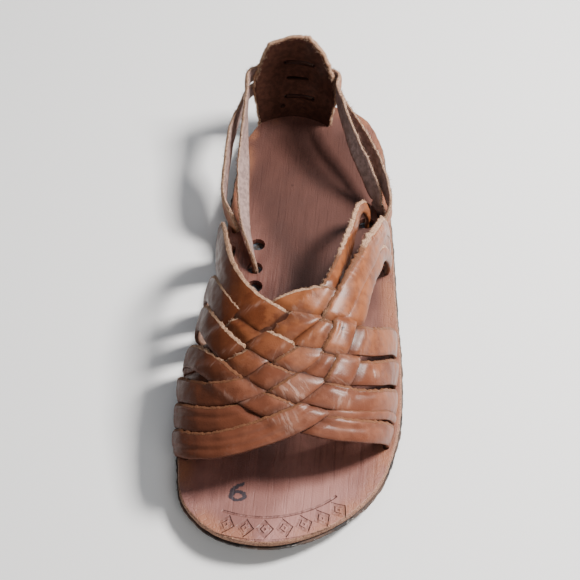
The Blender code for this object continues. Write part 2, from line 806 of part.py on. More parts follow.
def build_upper():
    """Build the woven upper as one wall and return it with its slot cutters."""
    widths = {}
    rows = {}
    for name, share, end_share, table in RIDGES + CROSSERS + EXTRAS:
        rows[name] = strap_rows(table, VAMP_SECTIONS)
        widths[name] = tapered(VAMP_SECTIONS, STRAP_WIDTH * share, end_share, 1.0)
    weave(rows)
    parts = []
    cutters = []
    for name, table in rows.items():
        rails, normals = rails_on_last(table, widths[name])
        parts.append(ribbon(name, rails, normals, STRAP_THICKNESS, "leather_strap"))
        cutters.extend(both_seats(name, rails, normals, STRAP_THICKNESS))
        if name == STRAP_WITH_HOLE:
            cutters.append(round_hole(name, rails[0, 1, :2]))
    upper = parts[0]
    upper.name = "woven_upper"
    combine(upper, parts[1:], "UNION", "MANIFOLD")
    return upper, cutters


def heel_strap_side(level, foot, rows, edge):
    """Return the points and leans of a heel strap from the counter's edge to its slot."""
    start = counter_point(edge, HEEL_STRAP_DEPTH, level)
    foot_x = foot[0] * BALL_WIDTH
    foot_y = HEEL_END - foot[1] * LENGTH
    points = []
    for along, bulge, height, lean in rows:
        x = start[0] + (foot_x - start[0]) * along + bulge * BALL_WIDTH
        y = start[1] + (foot_y - start[1]) * along
        points.append((x, y, float(bed(station_of(y))) + height * level, lean))
    points.append((foot_x, foot_y, float(deck(foot[1])) + FIT, rows[-1][3]))
    return points


def build_heel_strap(row):
    """Build one heel strap round the back of the counter, with its cutters."""
    name, side, outer_foot, outer_rows, inner_foot, inner_rows, end_shares = row
    level = strap_level(side)
    edge = COUNTER_WIDTH / 2
    arc = [
        tuple(counter_point(across, HEEL_STRAP_DEPTH, level)) + (0.0,)
        for across in np.linspace(edge, -edge, 9)
    ]
    outer = heel_strap_side(level, outer_foot, outer_rows, edge)
    inner = heel_strap_side(level, inner_foot, inner_rows, -edge)
    path = smooth(outer[::-1] + arc + inner, 20 * HEEL_STRAP_SECTIONS)
    ahead = unit(np.gradient(path[:, :3], axis=0))
    path = by_length(np.hstack([path, ahead]), path[:, :3], HEEL_STRAP_SECTIONS)
    centre = path[:, :3]
    ahead = unit(path[:, 4:])
    flat = ahead[:, :2]
    steady = np.nonzero(np.linalg.norm(flat, axis=1) > 0.45)[0]
    nearest = steady[np.argmin(np.abs(np.arange(len(flat))[:, None] - steady[None, :]), axis=1)]
    flat = unit(flat[nearest])
    outward = np.stack([flat[:, 1], -flat[:, 0], np.zeros(len(flat))], axis=1)
    lean = np.radians(path[:, 3])[:, None]
    normal = outward * np.cos(lean) - np.array([0.0, 0.0, 1.0]) * np.sin(lean)
    normal = unit(normal - ahead * np.sum(normal * ahead, axis=1)[:, None])
    sideways = np.cross(ahead, normal)
    widths = tapered(len(path), HEEL_STRAP_WIDTH, *end_shares)
    rails = np.stack([centre + sideways * (widths * share)[:, None] for share in (-0.5, 0, 0.5)], 1)
    normals = np.repeat(normal[:, None, :], 3, axis=1)
    made = ribbon(name, rails, normals, STRAP_THICKNESS, "leather_heel_strap")
    return made, both_seats(name, rails, normals, STRAP_THICKNESS)


def build_counter():
    """Build the heel counter with its slits."""
    counter = counter_solid("heel_counter", 0.0, -INSOLE_THICKNESS, COUNTER_HEIGHT, "leather_counter")
    across = SLIT_ACROSS * COUNTER_WIDTH
    turn = -math.atan2(across, COUNTER_RADIUS)
    keeper_slit = (KEEPER_WIDTH + 2 * SLIT_CLEAR, STRAP_THICKNESS + 2 * SLIT_CLEAR)
    slits = (
        (keeper_level(1.0), keeper_slit),
        (STRAPS_LEVEL * COUNTER_HEIGHT, (MIDDLE_SLIT_WIDTH, MIDDLE_SLIT_HEIGHT)),
        (keeper_level(-1.0), keeper_slit),
    )
    cutters = []
    for number, (height, (width, tall)) in enumerate(slits):
        centre = counter_point(across, -COUNTER_THICKNESS / 2, height)
        sizes = (width, COUNTER_THICKNESS * 4, tall)
        cutters.append(box("slit_" + str(number), centre, sizes, turn))
    combine(counter, cutters, "DIFFERENCE")
    return counter


def build_keeper():
    """Build the short strap that holds the heel straps against the counter."""
    reach = HEEL_STRAP_DEPTH + STRAP_THICKNESS + FIT + KEEPER_EASE
    top = keeper_level(1.0)
    bottom = keeper_level(-1.0)
    corner = STRAP_THICKNESS
    rows = [
        (-COUNTER_THICKNESS, top),
        (reach - 1.3 * corner, top),
        (reach - 0.4 * corner, top - 0.35 * corner),
        (reach, top - 1.2 * corner),
        (reach, (top + bottom) / 2),
        (reach, bottom + 1.2 * corner),
        (reach - 0.4 * corner, bottom + 0.35 * corner),
        (reach - 1.3 * corner, bottom),
        (-COUNTER_THICKNESS, bottom),
    ]
    count = 22
    path = smooth(rows, 20 * count)
    path = by_length(path, path, count)
    ahead = unit(np.gradient(path, axis=0))
    facing = np.stack([-ahead[:, 1], ahead[:, 0]], axis=1)
    middle = SLIT_ACROSS * COUNTER_WIDTH
    rails = []
    normals = []
    for share in (-0.5, 0.0, 0.5):
        across = np.full(len(path), middle + KEEPER_WIDTH * share)
        outward = counter_point(across, 1.0, 0.0) - counter_point(across, 0.0, 0.0)
        rails.append(counter_point(across, path[:, 0], path[:, 1]))
        normals.append(outward * facing[:, :1] + np.outer(facing[:, 1], (0.0, 0.0, 1.0)))
    rails = np.stack(rails, 1)
    normals = np.stack(normals, 1)
    return ribbon("counter_keeper", rails, normals, STRAP_THICKNESS, "leather_keeper")


def blend(low, high, share):
    """Return a height function between two others."""
    return lambda station: low(station) + (high(station) - low(station)) * share


def above(base, distance):
    """Return a height function at a distance above another."""
    return lambda station: base(station) + distance


def build_outsole():
    """Build the rubber outsole with the rib of its side and its tread."""
    waist = RIB_DEPTH + BOTTOM_BEVEL * 0.2
    rings = [
        (BOTTOM_BEVEL, ground),
        (BOTTOM_BEVEL * 0.4, blend(ground, deck, 0.22)),
        (BOTTOM_BEVEL * 0.2, blend(ground, deck, 0.44)),
        (waist, blend(ground, deck, 0.50)),
        (waist, blend(ground, deck, 0.60)),
        (0.0, blend(ground, deck, 0.66)),
        (0.0, blend(ground, deck, 0.92)),
        (EDGE_ROUNDING / 2, deck),
    ]
    sole = layer("outsole", rings, "rubber_dark")
    count = int((LENGTH - 2 * TREAD_MARGIN) / TREAD_PITCH) + 1
    deep = 2 * OUTSOLE_THICKNESS
    cutters = []
    for number in range(count):
        y = HEEL_END - TREAD_MARGIN - number * TREAD_PITCH
        station = station_of(y)
        if TREAD_GAP[0] < station < TREAD_GAP[1]:
            continue
        top = float(ground(station)) + TREAD_DEPTH
        centre = (0.0, y, top - deep / 2)
        cutters.append(box("groove_" + str(number), centre, (2 * BALL_WIDTH, TREAD_WIDTH, deep)))
    combine(sole, cutters, "DIFFERENCE", "MANIFOLD")
    return sole


def round_hole(name, centre):
    """Make the cutter of a round hole through the insole at a point (x, y)."""
    level = float(bed(station_of(centre[1])))
    low = level - INSOLE_THICKNESS - SEAT_CLEAR_BELOW
    return cylinder("hole_" + name, centre, HOLE_RADIUS, low, level + SEAT_CLEAR_ABOVE)


def build_insole(cutters):
    """Build the leather insole with its slots and round holes."""
    bottom = above(deck, FIT)
    rings = [
        (INSOLE_INSET + EDGE_ROUNDING / 2, bottom),
        (INSOLE_INSET, above(bottom, EDGE_ROUNDING)),
        (INSOLE_INSET, above(bed, -EDGE_ROUNDING)),
        (INSOLE_INSET + EDGE_ROUNDING, bed),
    ]
    insole = layer("insole", rings, "leather_insole")
    for number, (across, station) in enumerate(INSOLE_HOLES):
        centre = (across * BALL_WIDTH, HEEL_END - station * LENGTH)
        cutters.append(round_hole(str(number), centre))
    foot = -INSOLE_THICKNESS - SEAT_CLEAR_BELOW
    cutters.append(counter_solid("counter_seat", FIT, foot, SEAT_CLEAR_ABOVE, None))
    combine(insole, cutters, "DIFFERENCE", "MANIFOLD")
    return insole


def shade(made):
    """Shade smooth, with sharp edges kept where faces turn."""
    for face in made.data.polygons:
        face.use_smooth = True
    made.data.set_sharp_from_angle(angle=math.radians(32))


def main():
    """Build the sandal."""
    for old in list(bpy.data.objects):
        bpy.data.objects.remove(old, do_unlink=True)
    for name in MATERIALS:
        make_material(name)
    made = [build_outsole()]
    upper, cutters = build_upper()
    made.append(upper)
    for row in HEEL_STRAPS:
        strap, seats = build_heel_strap(row)
        made.append(strap)
        cutters.extend(seats)
    made.append(build_counter())
    made.append(build_keeper())
    made.append(build_insole(cutters))
    for item in made:
        shade(item)


main()
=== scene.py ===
"""Looks of a left huarache sandal: woven upper, slit heel counter, slotted insole.

The frame is the packed sandal's: metres, toe towards -Y, heel towards +Y, outer side
towards +X, standing on z = 0. Sizes in the classes below are in millimetres.
"""
import logging
import math
from dataclasses import dataclass, field
from enum import Enum
from typing import Callable, Sequence

import bmesh
import bpy
import numpy as np
from bpy.types import Material, Node, NodeSocket, NodeTree, Object
from mathutils import Matrix, Vector


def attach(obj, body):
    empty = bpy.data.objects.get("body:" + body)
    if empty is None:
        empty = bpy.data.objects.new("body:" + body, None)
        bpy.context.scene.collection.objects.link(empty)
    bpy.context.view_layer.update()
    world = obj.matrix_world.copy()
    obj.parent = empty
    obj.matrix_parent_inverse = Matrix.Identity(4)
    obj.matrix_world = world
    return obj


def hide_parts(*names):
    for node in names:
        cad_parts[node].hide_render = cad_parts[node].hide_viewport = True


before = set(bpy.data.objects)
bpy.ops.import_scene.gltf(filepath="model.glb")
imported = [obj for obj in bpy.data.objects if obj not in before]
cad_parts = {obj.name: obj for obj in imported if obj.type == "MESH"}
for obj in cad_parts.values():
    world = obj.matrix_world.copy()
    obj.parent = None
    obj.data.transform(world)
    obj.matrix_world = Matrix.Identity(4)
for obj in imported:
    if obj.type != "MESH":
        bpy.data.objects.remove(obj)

Array = np.ndarray
LOG = logging.getLogger("sandal")
MM = 0.001
SMALL = 1e-6
UP = np.array([0.0, 0.0, 1.0])


class Toe(Enum):
    """Sign of the side of a strap that looks back towards the heel."""

    RIDGE = -1.0
    CROSSER = 1.0


def smooth(rows: Sequence[Sequence[float]], count: int, closed: bool = False) -> Array:
    """Run a chord-length cubic curve through rows.

    Args:
        rows: Points of any dimension, in order.
        count: How many points to return.
        closed: Whether the curve runs back to its first point.

    Returns:
        The points of the curve.
    """
    points = np.array(rows, float)
    if closed:
        points = np.vstack([points[-2:], points, points[:3]])
    steps = np.linalg.norm(np.diff(points, axis=0), axis=1)
    at = np.concatenate([[0.0], np.cumsum(np.maximum(steps, SMALL))])
    slopes = np.diff(points, axis=0) / np.diff(at)[:, None]
    tangents = np.empty_like(points)
    tangents[0] = slopes[0]
    tangents[-1] = slopes[-1]
    before = np.diff(at)[:-1, None]
    after = np.diff(at)[1:, None]
    tangents[1:-1] = (slopes[:-1] * after + slopes[1:] * before) / (before + after)
    low = at[2] if closed else at[0]
    high = at[-3] if closed else at[-1]
    wanted = np.linspace(low, high, count, endpoint=not closed)
    span = np.clip(np.searchsorted(at, wanted, side="right") - 1, 0, len(points) - 2)
    width = (at[span + 1] - at[span])[:, None]
    t = (wanted - at[span])[:, None] / width
    start = (2 * t**3 - 3 * t**2 + 1) * points[span]
    start_pull = (t**3 - 2 * t**2 + t) * width * tangents[span]
    end = (-2 * t**3 + 3 * t**2) * points[span + 1]
    end_pull = (t**3 - t**2) * width * tangents[span + 1]
    return start + start_pull + end + end_pull


def ease(value: Array | float, low: float, high: float) -> Array:
    """Return a smooth step from 0 at low to 1 at high."""
    t = np.clip((np.asarray(value, float) - low) / (high - low), 0.0, 1.0)
    return t * t * (3 - 2 * t)


def unit(vectors: Array) -> Array:
    """Return vectors of length one."""
    vectors = np.asarray(vectors, float)
    return vectors / np.maximum(np.linalg.norm(vectors, axis=-1, keepdims=True), SMALL)


def by_length(rows: Array, position: Array, count: int) -> Array:
    """Pick count rows at equal steps of length along their positions."""
    steps = np.linalg.norm(np.diff(position, axis=0), axis=1)
    at = np.concatenate([[0.0], np.cumsum(steps)])
    wanted = np.linspace(0.0, at[-1], count)
    return np.stack([np.interp(wanted, at, column) for column in rows.T], axis=1)


def ripple(points: Array, wavelength: float, seed: int) -> Array:
    """Return a smooth irregular value from about -1 to 1 at points.

    Args:
        points: Places in mm, any shape that ends in 3.
        wavelength: Mean length of a wave in mm.
        seed: Picks the pattern.

    Returns:
        One value for each point.
    """
    draw = np.random.default_rng(seed)
    total = np.zeros(points.shape[:-1])
    waves = 7
    for _ in range(waves):
        direction = unit(draw.normal(size=3))
        pitch = wavelength * draw.uniform(0.6, 1.6)
        total += np.sin(points @ direction * 2 * math.pi / pitch + draw.uniform(0, 2 * math.pi))
    return total / math.sqrt(waves)


@dataclass(frozen=True)
class Last:
    """The form that the straps lie on, worked out from the sandal's main sizes."""

    length: float = 242.3
    ball_width: float = 92.0
    instep_height: float = 66.0
    toe_spring: float = 6.0
    outsole_thickness: float = 3.8
    heel_lift: float = 2.4
    toe_skiving: float = 1.2
    arch_lift: float = 2.0
    insole_thickness: float = 2.8
    insole_inset: float = 0.8
    fit: float = 0.3
    slot_inset_inner: float = 4.2
    slot_inset_outer: float = 4.4
    bulge_inner: float = 4.0
    bulge_outer: float = 1.2
    bulge_height: float = 9.0
    side_fullness: float = 0.75
    crest_shift: float = -3.0
    dive_share: float = 0.34
    centre_shift: float = 1.5
    # Outline: station from the heel as a share of length, across of ball width.
    outline: tuple = (
        (0.000, -0.030), (0.030, 0.216), (0.101, 0.317), (0.202, 0.357), (0.354, 0.402),
        (0.506, 0.438), (0.637, 0.471), (0.765, 0.469), (0.883, 0.381), (0.961, 0.192),
        (1.000, -0.058), (0.985, -0.279), (0.931, -0.430), (0.843, -0.487), (0.728, -0.502),
        (0.586, -0.455), (0.445, -0.415), (0.303, -0.412), (0.182, -0.402), (0.091, -0.362),
        (0.030, -0.255),
    )
    # Crest: station, height as a share of instep height.
    crest: tuple = (
        (0.202, 1.250), (0.258, 1.180), (0.402, 1.000), (0.526, 0.894), (0.609, 0.803),
        (0.692, 0.712), (0.774, 0.606), (0.856, 0.500), (0.918, 0.424),
    )

    @property
    def heel_end(self) -> float:
        """Return the y of the heel's end."""
        return self.length / 2

    def station(self, y: Array) -> Array:
        """Return the station of a y."""
        return (self.heel_end - np.asarray(y, float)) / self.length

    def y_of(self, station: Array) -> Array:
        """Return the y of a station."""
        return self.heel_end - np.asarray(station, float) * self.length

    def toe_rise(self, station: Array) -> Array:
        """Return how far the toe spring lifts the sole at a station."""
        return self.toe_spring * np.clip((station - 0.79) / 0.21, 0.0, None) ** 1.7

    def ground(self, station: Array) -> Array:
        """Return the height of the underside of the sole at a station."""
        arch = self.arch_lift * ease(station, 0.353, 0.361) * (1 - ease(station, 0.47, 0.58))
        return arch + self.toe_rise(station)

    def deck(self, station: Array) -> Array:
        """Return the height of the top of the outsole at a station."""
        skived = self.toe_skiving * ease(station, 0.79, 1.0)
        heel = self.heel_lift * (1 - ease(station, 0.34, 0.58))
        return self.outsole_thickness + heel + self.toe_rise(station) - skived

    def bed(self, station: Array) -> Array:
        """Return the height of the top of the insole at a station."""
        return self.deck(station) + self.fit + self.insole_thickness

    def sides(self, inset: float) -> tuple[Array, Array]:
        """Return the outer and the inner side of the outline, each from heel to toe."""
        rows = [(x * self.ball_width, self.y_of(s)) for s, x in self.outline]
        loop = smooth(rows, 900, closed=True)
        ahead = unit(np.roll(loop, -1, axis=0) - np.roll(loop, 1, axis=0))
        inward = np.stack([ahead[:, 1], -ahead[:, 0]], axis=1)
        turn = np.sign(np.sum(inward * (loop.mean(axis=0) - loop)))
        loop = loop + inward * turn * inset
        loop = np.roll(loop, -int(np.argmax(loop[:, 1])), axis=0)
        last = int(np.argmin(loop[:, 1]))
        one = loop[:last + 1]
        other = np.vstack([loop[last:], loop[:1]])[::-1]
        if one[last // 2, 0] < other[len(other) // 2, 0]:
            one, other = other, one
        return one, other

    def surface(self, across: Array, station: Array) -> Array:
        """Return points on the last, centred on the sole and not yet shifted."""
        across = np.asarray(across, float)
        station = np.asarray(station, float)
        y = self.y_of(station)
        inner = side_x(EDGES[1], y) + self.slot_inset_inner
        outer = side_x(EDGES[0], y) - self.slot_inset_outer
        angle = np.clip(across, -1.0, 1.0) * math.pi / 2
        stations = [row[0] for row in self.crest]
        heights = [row[1] * self.instep_height for row in self.crest]
        floor = self.bed(station)
        crown = np.maximum(np.cos(angle), 0.0)
        rise = (np.interp(station, stations, heights) - floor) * crown**self.side_fullness
        share = rise / self.bulge_height
        size = (self.bulge_inner + self.bulge_outer) * ease(across, -0.30, 0.30) - self.bulge_inner
        bulge = size * share * np.exp(1 - share)
        x = (inner + outer) / 2 + self.crest_shift * crown
        x = x + (outer - inner) / 2 * np.sin(angle) + bulge
        below = np.clip(np.abs(across) - 1.0, 0.0, None)
        z = floor + rise - below * self.insole_thickness / self.dive_share
        return np.stack([x, y, z], axis=-1)

    def slopes(self, across: Array, station: Array) -> tuple[Array, Array]:
        """Return how the surface moves with each of its two parameters."""
        step = 0.004
        by_across = self.surface(across + step, station) - self.surface(across - step, station)
        by_station = self.surface(across, station + step) - self.surface(across, station - step)
        return by_across / (2 * step), by_station / (2 * step)

    def normal(self, across: Array, station: Array) -> Array:
        """Return the outward normal of the surface."""
        by_across, by_station = self.slopes(np.asarray(across, float), np.asarray(station, float))
        return unit(np.cross(by_station, by_across))

    def point(self, across: Array, station: Array, lift: Array) -> Array:
        """Return points lifted off the surface along its normal."""
        lift = np.asarray(lift, float)[..., None]
        return self.surface(across, station) + self.normal(across, station) * lift


def side_x(side: Array, y: Array) -> Array:
    """Return the x of one side of the outline at a y."""
    return np.interp(-np.asarray(y), -side[:, 1], side[:, 0])


LAST = Last()
EDGES = LAST.sides(0.0)


class Tree:
    """Short ways to add and join the nodes of one node tree."""

    def __init__(self, tree: NodeTree) -> None:
        """Keep the tree."""
        self.tree = tree

    def add(self, kind: str, inputs: dict | None = None, **settings: object) -> Node:
        """Add a node.

        Args:
            kind: The node's type.
            inputs: Values or output sockets, by input name or number.
            settings: Properties of the node.

        Returns:
            The node.
        """
        node = self.tree.nodes.new(kind)
        for name, value in settings.items():
            setattr(node, name, value)
        for name, value in (inputs or {}).items():
            if isinstance(value, NodeSocket):
                self.tree.links.new(value, node.inputs[name])
            else:
                node.inputs[name].default_value = value
        return node

    def math(self, operation: str, *values: object) -> NodeSocket:
        """Return the result of a math node."""
        return self.add("ShaderNodeMath", dict(enumerate(values)), operation=operation).outputs[0]

    def times(self, first: object, second: object) -> NodeSocket:
        """Return a product."""
        return self.math("MULTIPLY", first, second)

    def plus(self, first: object, second: object) -> NodeSocket:
        """Return a sum."""
        return self.math("ADD", first, second)

    def minus(self, first: object, second: object) -> NodeSocket:
        """Return a difference."""
        return self.math("SUBTRACT", first, second)

    def paint(self, colour: object, *coats: tuple) -> NodeSocket:
        """Return a colour with others laid over it, each as mask, strength and colour."""
        for mask, strength, other in coats:
            colour = self.mix(self.times(mask, strength), colour, other)
        return colour

    def build_up(self, height: object, *reliefs: tuple) -> NodeSocket:
        """Return a height with others added to it, each as a value and its factor."""
        for value, factor in reliefs:
            height = self.plus(height, self.times(value, factor))
        return height

    def join(self, value: NodeSocket, node: Node, name: str) -> None:
        """Join a value to an input of a node."""
        self.tree.links.new(value, node.inputs[name])

    def mix(self, share: object, first: object, second: object) -> NodeSocket:
        """Return a mix of two colours."""
        inputs = {0: share, 6: first, 7: second}
        return self.add("ShaderNodeMix", inputs, data_type="RGBA").outputs[2]

    def remap(self, value: object, low: float, high: float, to_low: float = 0.0,
              to_high: float = 1.0) -> NodeSocket:
        """Return a value stretched smoothly from one range to another."""
        inputs = {0: value, 1: low, 2: high, 3: to_low, 4: to_high}
        node = self.add("ShaderNodeMapRange", inputs, interpolation_type="SMOOTHSTEP")
        return node.outputs[0]

    def noise(self, vector: object, scale: float, detail: float = 3.0,
              stretch: tuple = (1.0, 1.0, 1.0)) -> NodeSocket:
        """Return a noise value in 1/metre scale, with its vector stretched first."""
        if stretch != (1.0, 1.0, 1.0):
            vector = self.add("ShaderNodeMapping", {"Vector": vector, "Scale": stretch}).outputs[0]
        inputs = {"Vector": vector, "Scale": scale, "Detail": detail, "Roughness": 0.55}
        return self.add("ShaderNodeTexNoise", inputs).outputs["Fac"]

    def attribute(self, name: str) -> NodeSocket:
        """Return a value that the mesh carries."""
        return self.add("ShaderNodeAttribute", attribute_name=name).outputs["Fac"]

    def place(self) -> NodeSocket:
        """Return the object coordinates."""
        return self.add("ShaderNodeTexCoord").outputs["Object"]


class Effects:
    """Shader node groups that more than one finish uses, each built once."""

    def __init__(self) -> None:
        """Start with no group built."""
        self.groups: dict[str, NodeTree] = {}

    def start(self, name: str, inputs: dict, outputs: Sequence[str]) -> tuple[Tree, object, object]:
        """Start a group with named float or vector inputs and float outputs."""
        group = bpy.data.node_groups.new(name, "ShaderNodeTree")
        for label, default in inputs.items():
            kind = "NodeSocketVector" if default is None else "NodeSocketFloat"
            socket = group.interface.new_socket(label, in_out="INPUT", socket_type=kind)
            if default is not None:
                socket.default_value = default
        for label in outputs:
            group.interface.new_socket(label, in_out="OUTPUT", socket_type="NodeSocketFloat")
        tree = Tree(group)
        self.groups[name] = group
        return tree, tree.add("NodeGroupInput"), tree.add("NodeGroupOutput")

    def grain(self) -> NodeTree:
        """Return the leather grain: pebbles, pores and cloudy tone.

        Returns:
            A group with inputs Vector and Size, and outputs Height and Tone.
        """
        if "leather grain" not in self.groups:
            tree, given, result = self.start(
                "leather grain", {"Vector": None, "Size": 1.0}, ("Height", "Tone"))
            inputs = {0: given.outputs["Vector"], "Scale": given.outputs["Size"]}
            spot = tree.add("ShaderNodeVectorMath", inputs, operation="SCALE").outputs[0]
            cells = tree.add("ShaderNodeTexVoronoi", {"Vector": spot, "Scale": 1500.0},
                             feature="F1").outputs["Distance"]
            fine = tree.noise(spot, 2600.0, 2.0)
            broad = tree.noise(spot, 260.0, 4.0)
            height = tree.math("MULTIPLY_ADD", cells, 0.35, tree.times(fine, 0.35))
            height = tree.math("MULTIPLY_ADD", broad, 0.6, height)
            tone = tree.math("MULTIPLY_ADD", tree.noise(spot, 75.0, 5.0), 0.6,
                             tree.times(broad, 0.4))
            tree.join(height, result, "Height")
            tree.join(tree.remap(tone, 0.36, 0.64), result, "Tone")
        return self.groups["leather grain"]

    def torn(self) -> NodeTree:
        """Return the ragged mask of a cut edge.

        Returns:
            A group with inputs Vector, Cut and Rough, and outputs Mask and Fibre.
        """
        if "cut edge" not in self.groups:
            tree, given, result = self.start(
                "cut edge", {"Vector": None, "Cut": 0.0, "Rough": 0.5}, ("Mask", "Fibre"))
            spot = given.outputs["Vector"]
            rag = tree.minus(tree.noise(spot, 900.0, 4.0), 0.5)
            rag = tree.times(rag, given.outputs["Rough"])
            level = tree.plus(given.outputs["Cut"], rag)
            fibre = tree.noise(spot, 3200.0, 3.0)
            tree.join(tree.remap(level, 0.38, 0.62), result, "Mask")
            tree.join(fibre, result, "Fibre")
        return self.groups["cut edge"]

    def dirt(self) -> NodeTree:
        """Return patchy dirt and scuffs.

        Returns:
            A group with inputs Vector and Amount, and outputs Dirt and Scuff.
        """
        if "wear and dirt" not in self.groups:
            tree, given, result = self.start(
                "wear and dirt", {"Vector": None, "Amount": 0.5}, ("Dirt", "Scuff"))
            spot = given.outputs["Vector"]
            patches = tree.remap(tree.noise(spot, 55.0, 6.0), 0.48, 0.72)
            specks = tree.remap(tree.noise(spot, 700.0, 2.0), 0.60, 0.72)
            scuff = tree.remap(tree.noise(spot, 210.0, 5.0), 0.57, 0.70)
            amount = given.outputs["Amount"]
            both = tree.math("MAXIMUM", patches, tree.times(specks, 0.6))
            tree.join(tree.times(both, amount), result, "Dirt")
            tree.join(tree.times(scuff, amount), result, "Scuff")
        return self.groups["wear and dirt"]


EFFECTS = Effects()


def use(tree: Tree, group: NodeTree, inputs: dict) -> Node:
    """Place a shared effect in a material with its own values."""
    return tree.add("ShaderNodeGroup", inputs, node_tree=group)


def rgba(red: float, green: float, blue: float) -> tuple[float, float, float, float]:
    """Return a colour with full alpha."""
    return (red, green, blue, 1.0)


def start_material(name: str, **sockets: float) -> tuple[Tree, Node, Material]:
    """Start a material.

    Args:
        name: The material's name.
        sockets: Plain values of the shader, with spaces in their names as underscores.

    Returns:
        Its tree, its shader and the material.
    """
    material = bpy.data.materials.new(name)
    material.use_nodes = True
    tree = Tree(material.node_tree)
    shader = material.node_tree.nodes["Principled BSDF"]
    for label, value in sockets.items():
        shader.inputs[label.replace("_", " ")].default_value = value
    return tree, shader, material


def add_bump(tree: Tree, shader: Node, height: object, distance: float,
             strength: float = 1.0) -> None:
    """Join a height to the shader's normal, with its depth in mm."""
    inputs = {"Height": height, "Distance": distance * MM, "Strength": strength}
    bump = tree.add("ShaderNodeBump", inputs)
    tree.join(bump.outputs["Normal"], shader, "Normal")


@dataclass(frozen=True)
class StrapLeather:
    """Finish of a strap: satin grain side, pale cut edges and a fuzzy flesh side."""

    name: str
    light: tuple = rgba(0.300, 0.100, 0.036)
    dark: tuple = rgba(0.118, 0.033, 0.013)
    edge: tuple = rgba(0.56, 0.36, 0.235)
    edge_dark: tuple = rgba(0.16, 0.070, 0.036)
    edge_brown: tuple = rgba(0.150, 0.058, 0.027)
    flesh: tuple = rgba(0.44, 0.28, 0.21)
    crease: tuple = rgba(0.020, 0.006, 0.004)
    rose: tuple = rgba(0.205, 0.082, 0.056)
    bent: tuple = rgba(0.62, 0.42, 0.34)
    roughness: float = 0.40
    coat: float = 0.28

    def material(self) -> Material:
        """Build the material.

        Returns:
            A material that reads cut, flesh, cover, bend, tint, rose and burnt.
        """
        tree, shader, material = start_material(
            self.name, Coat_Roughness=0.32, Specular_IOR_Level=0.10)
        spot = tree.place()
        along = tree.add("ShaderNodeUVMap", uv_map="strap").outputs[0]
        grain = use(tree, EFFECTS.grain(), {"Vector": spot, "Size": 1.0})
        wear = use(tree, EFFECTS.dirt(), {"Vector": spot, "Amount": 0.55})
        edge = {"Vector": spot, "Cut": tree.attribute("cut"), "Rough": 0.9}
        torn = use(tree, EFFECTS.torn(), edge)
        tint = tree.attribute("tint")
        quiet = tree.remap(grain.outputs["Tone"], 0.0, 1.0, 0.24, 0.76)
        tone = tree.plus(quiet, tree.minus(tint, 0.5))
        colour = tree.mix(tree.remap(tone, 0.0, 1.0), self.dark, self.light)
        rosy = tree.mix(tree.remap(tone, 0.0, 0.9, 0.45, 0.0), self.rose, self.dark)
        colour = tree.paint(colour, (tree.attribute("rose"), 0.62, rosy))
        tree.join(tree.remap(tint, 0.1, 0.5, 0.0, self.coat), shader, "Coat Weight")
        streaks = tree.remap(tree.noise(along, 1.0, 4.0, (6.0, 90.0, 1.0)), 0.42, 0.66)
        # Pale fold lines and crackled spots: partly a crackled finish, partly a painted highlight
        # where the strap bends over.
        bend = tree.attribute("bend")
        cracks = tree.remap(tree.noise(along, 1.0, 4.0, (620.0, 150.0, 1.0)), 0.50, 0.60)
        crackle_highlight = tree.times(cracks, bend)
        colour = tree.paint(
            colour, (streaks, 0.22, self.dark), (bend, 0.10, self.bent), (crackle_highlight, 0.55, self.bent),
            (wear.outputs["Dirt"], 0.24, self.dark), (wear.outputs["Scuff"], 0.07, self.bent))
        pale = tree.mix(tree.remap(torn.outputs["Fibre"], 0.35, 0.62), self.edge_dark, self.edge)
        burnt = tree.plus(tree.attribute("burnt"), tree.noise(spot, 130.0, 3.0))
        pale = tree.paint(pale, (tree.remap(burnt, 0.62, 1.05), 0.94, self.edge_brown))
        colour = tree.mix(torn.outputs["Mask"], colour, pale)
        nap = tree.mix(tree.remap(tree.noise(spot, 420.0, 5.0), 0.36, 0.64), self.flesh,
                       tuple(0.62 * c for c in self.flesh[:3]) + (1.0,))
        under = tree.attribute("flesh")
        colour = tree.mix(under, colour, nap)
        # Painted shade: near black under crossing straps, on toe-facing edges, on the vamp's inner
        # side, at the counter's foot and in its slits.
        colour = tree.paint(colour, (tree.attribute("cover"), 0.90, self.crease))
        tree.join(colour, shader, "Base Color")
        matt = tree.math("MAXIMUM", torn.outputs["Mask"], under)
        rough = tree.remap(
            grain.outputs["Tone"], 0.0, 1.0, self.roughness - 0.06, self.roughness + 0.12)
        tree.join(tree.plus(rough, tree.times(matt, 0.42)), shader, "Roughness")
        wrinkle = tree.noise(along, 1.0, 2.0, (120.0, 16.0, 1.0))
        height = tree.build_up(
            grain.outputs["Height"], (tree.noise(spot, 1500.0, 4.0), tree.times(matt, 2.4)),
            (crackle_highlight, -1.2), (wrinkle, tree.times(bend, 2.2)))
        add_bump(tree, shader, height, 0.13)
        return material


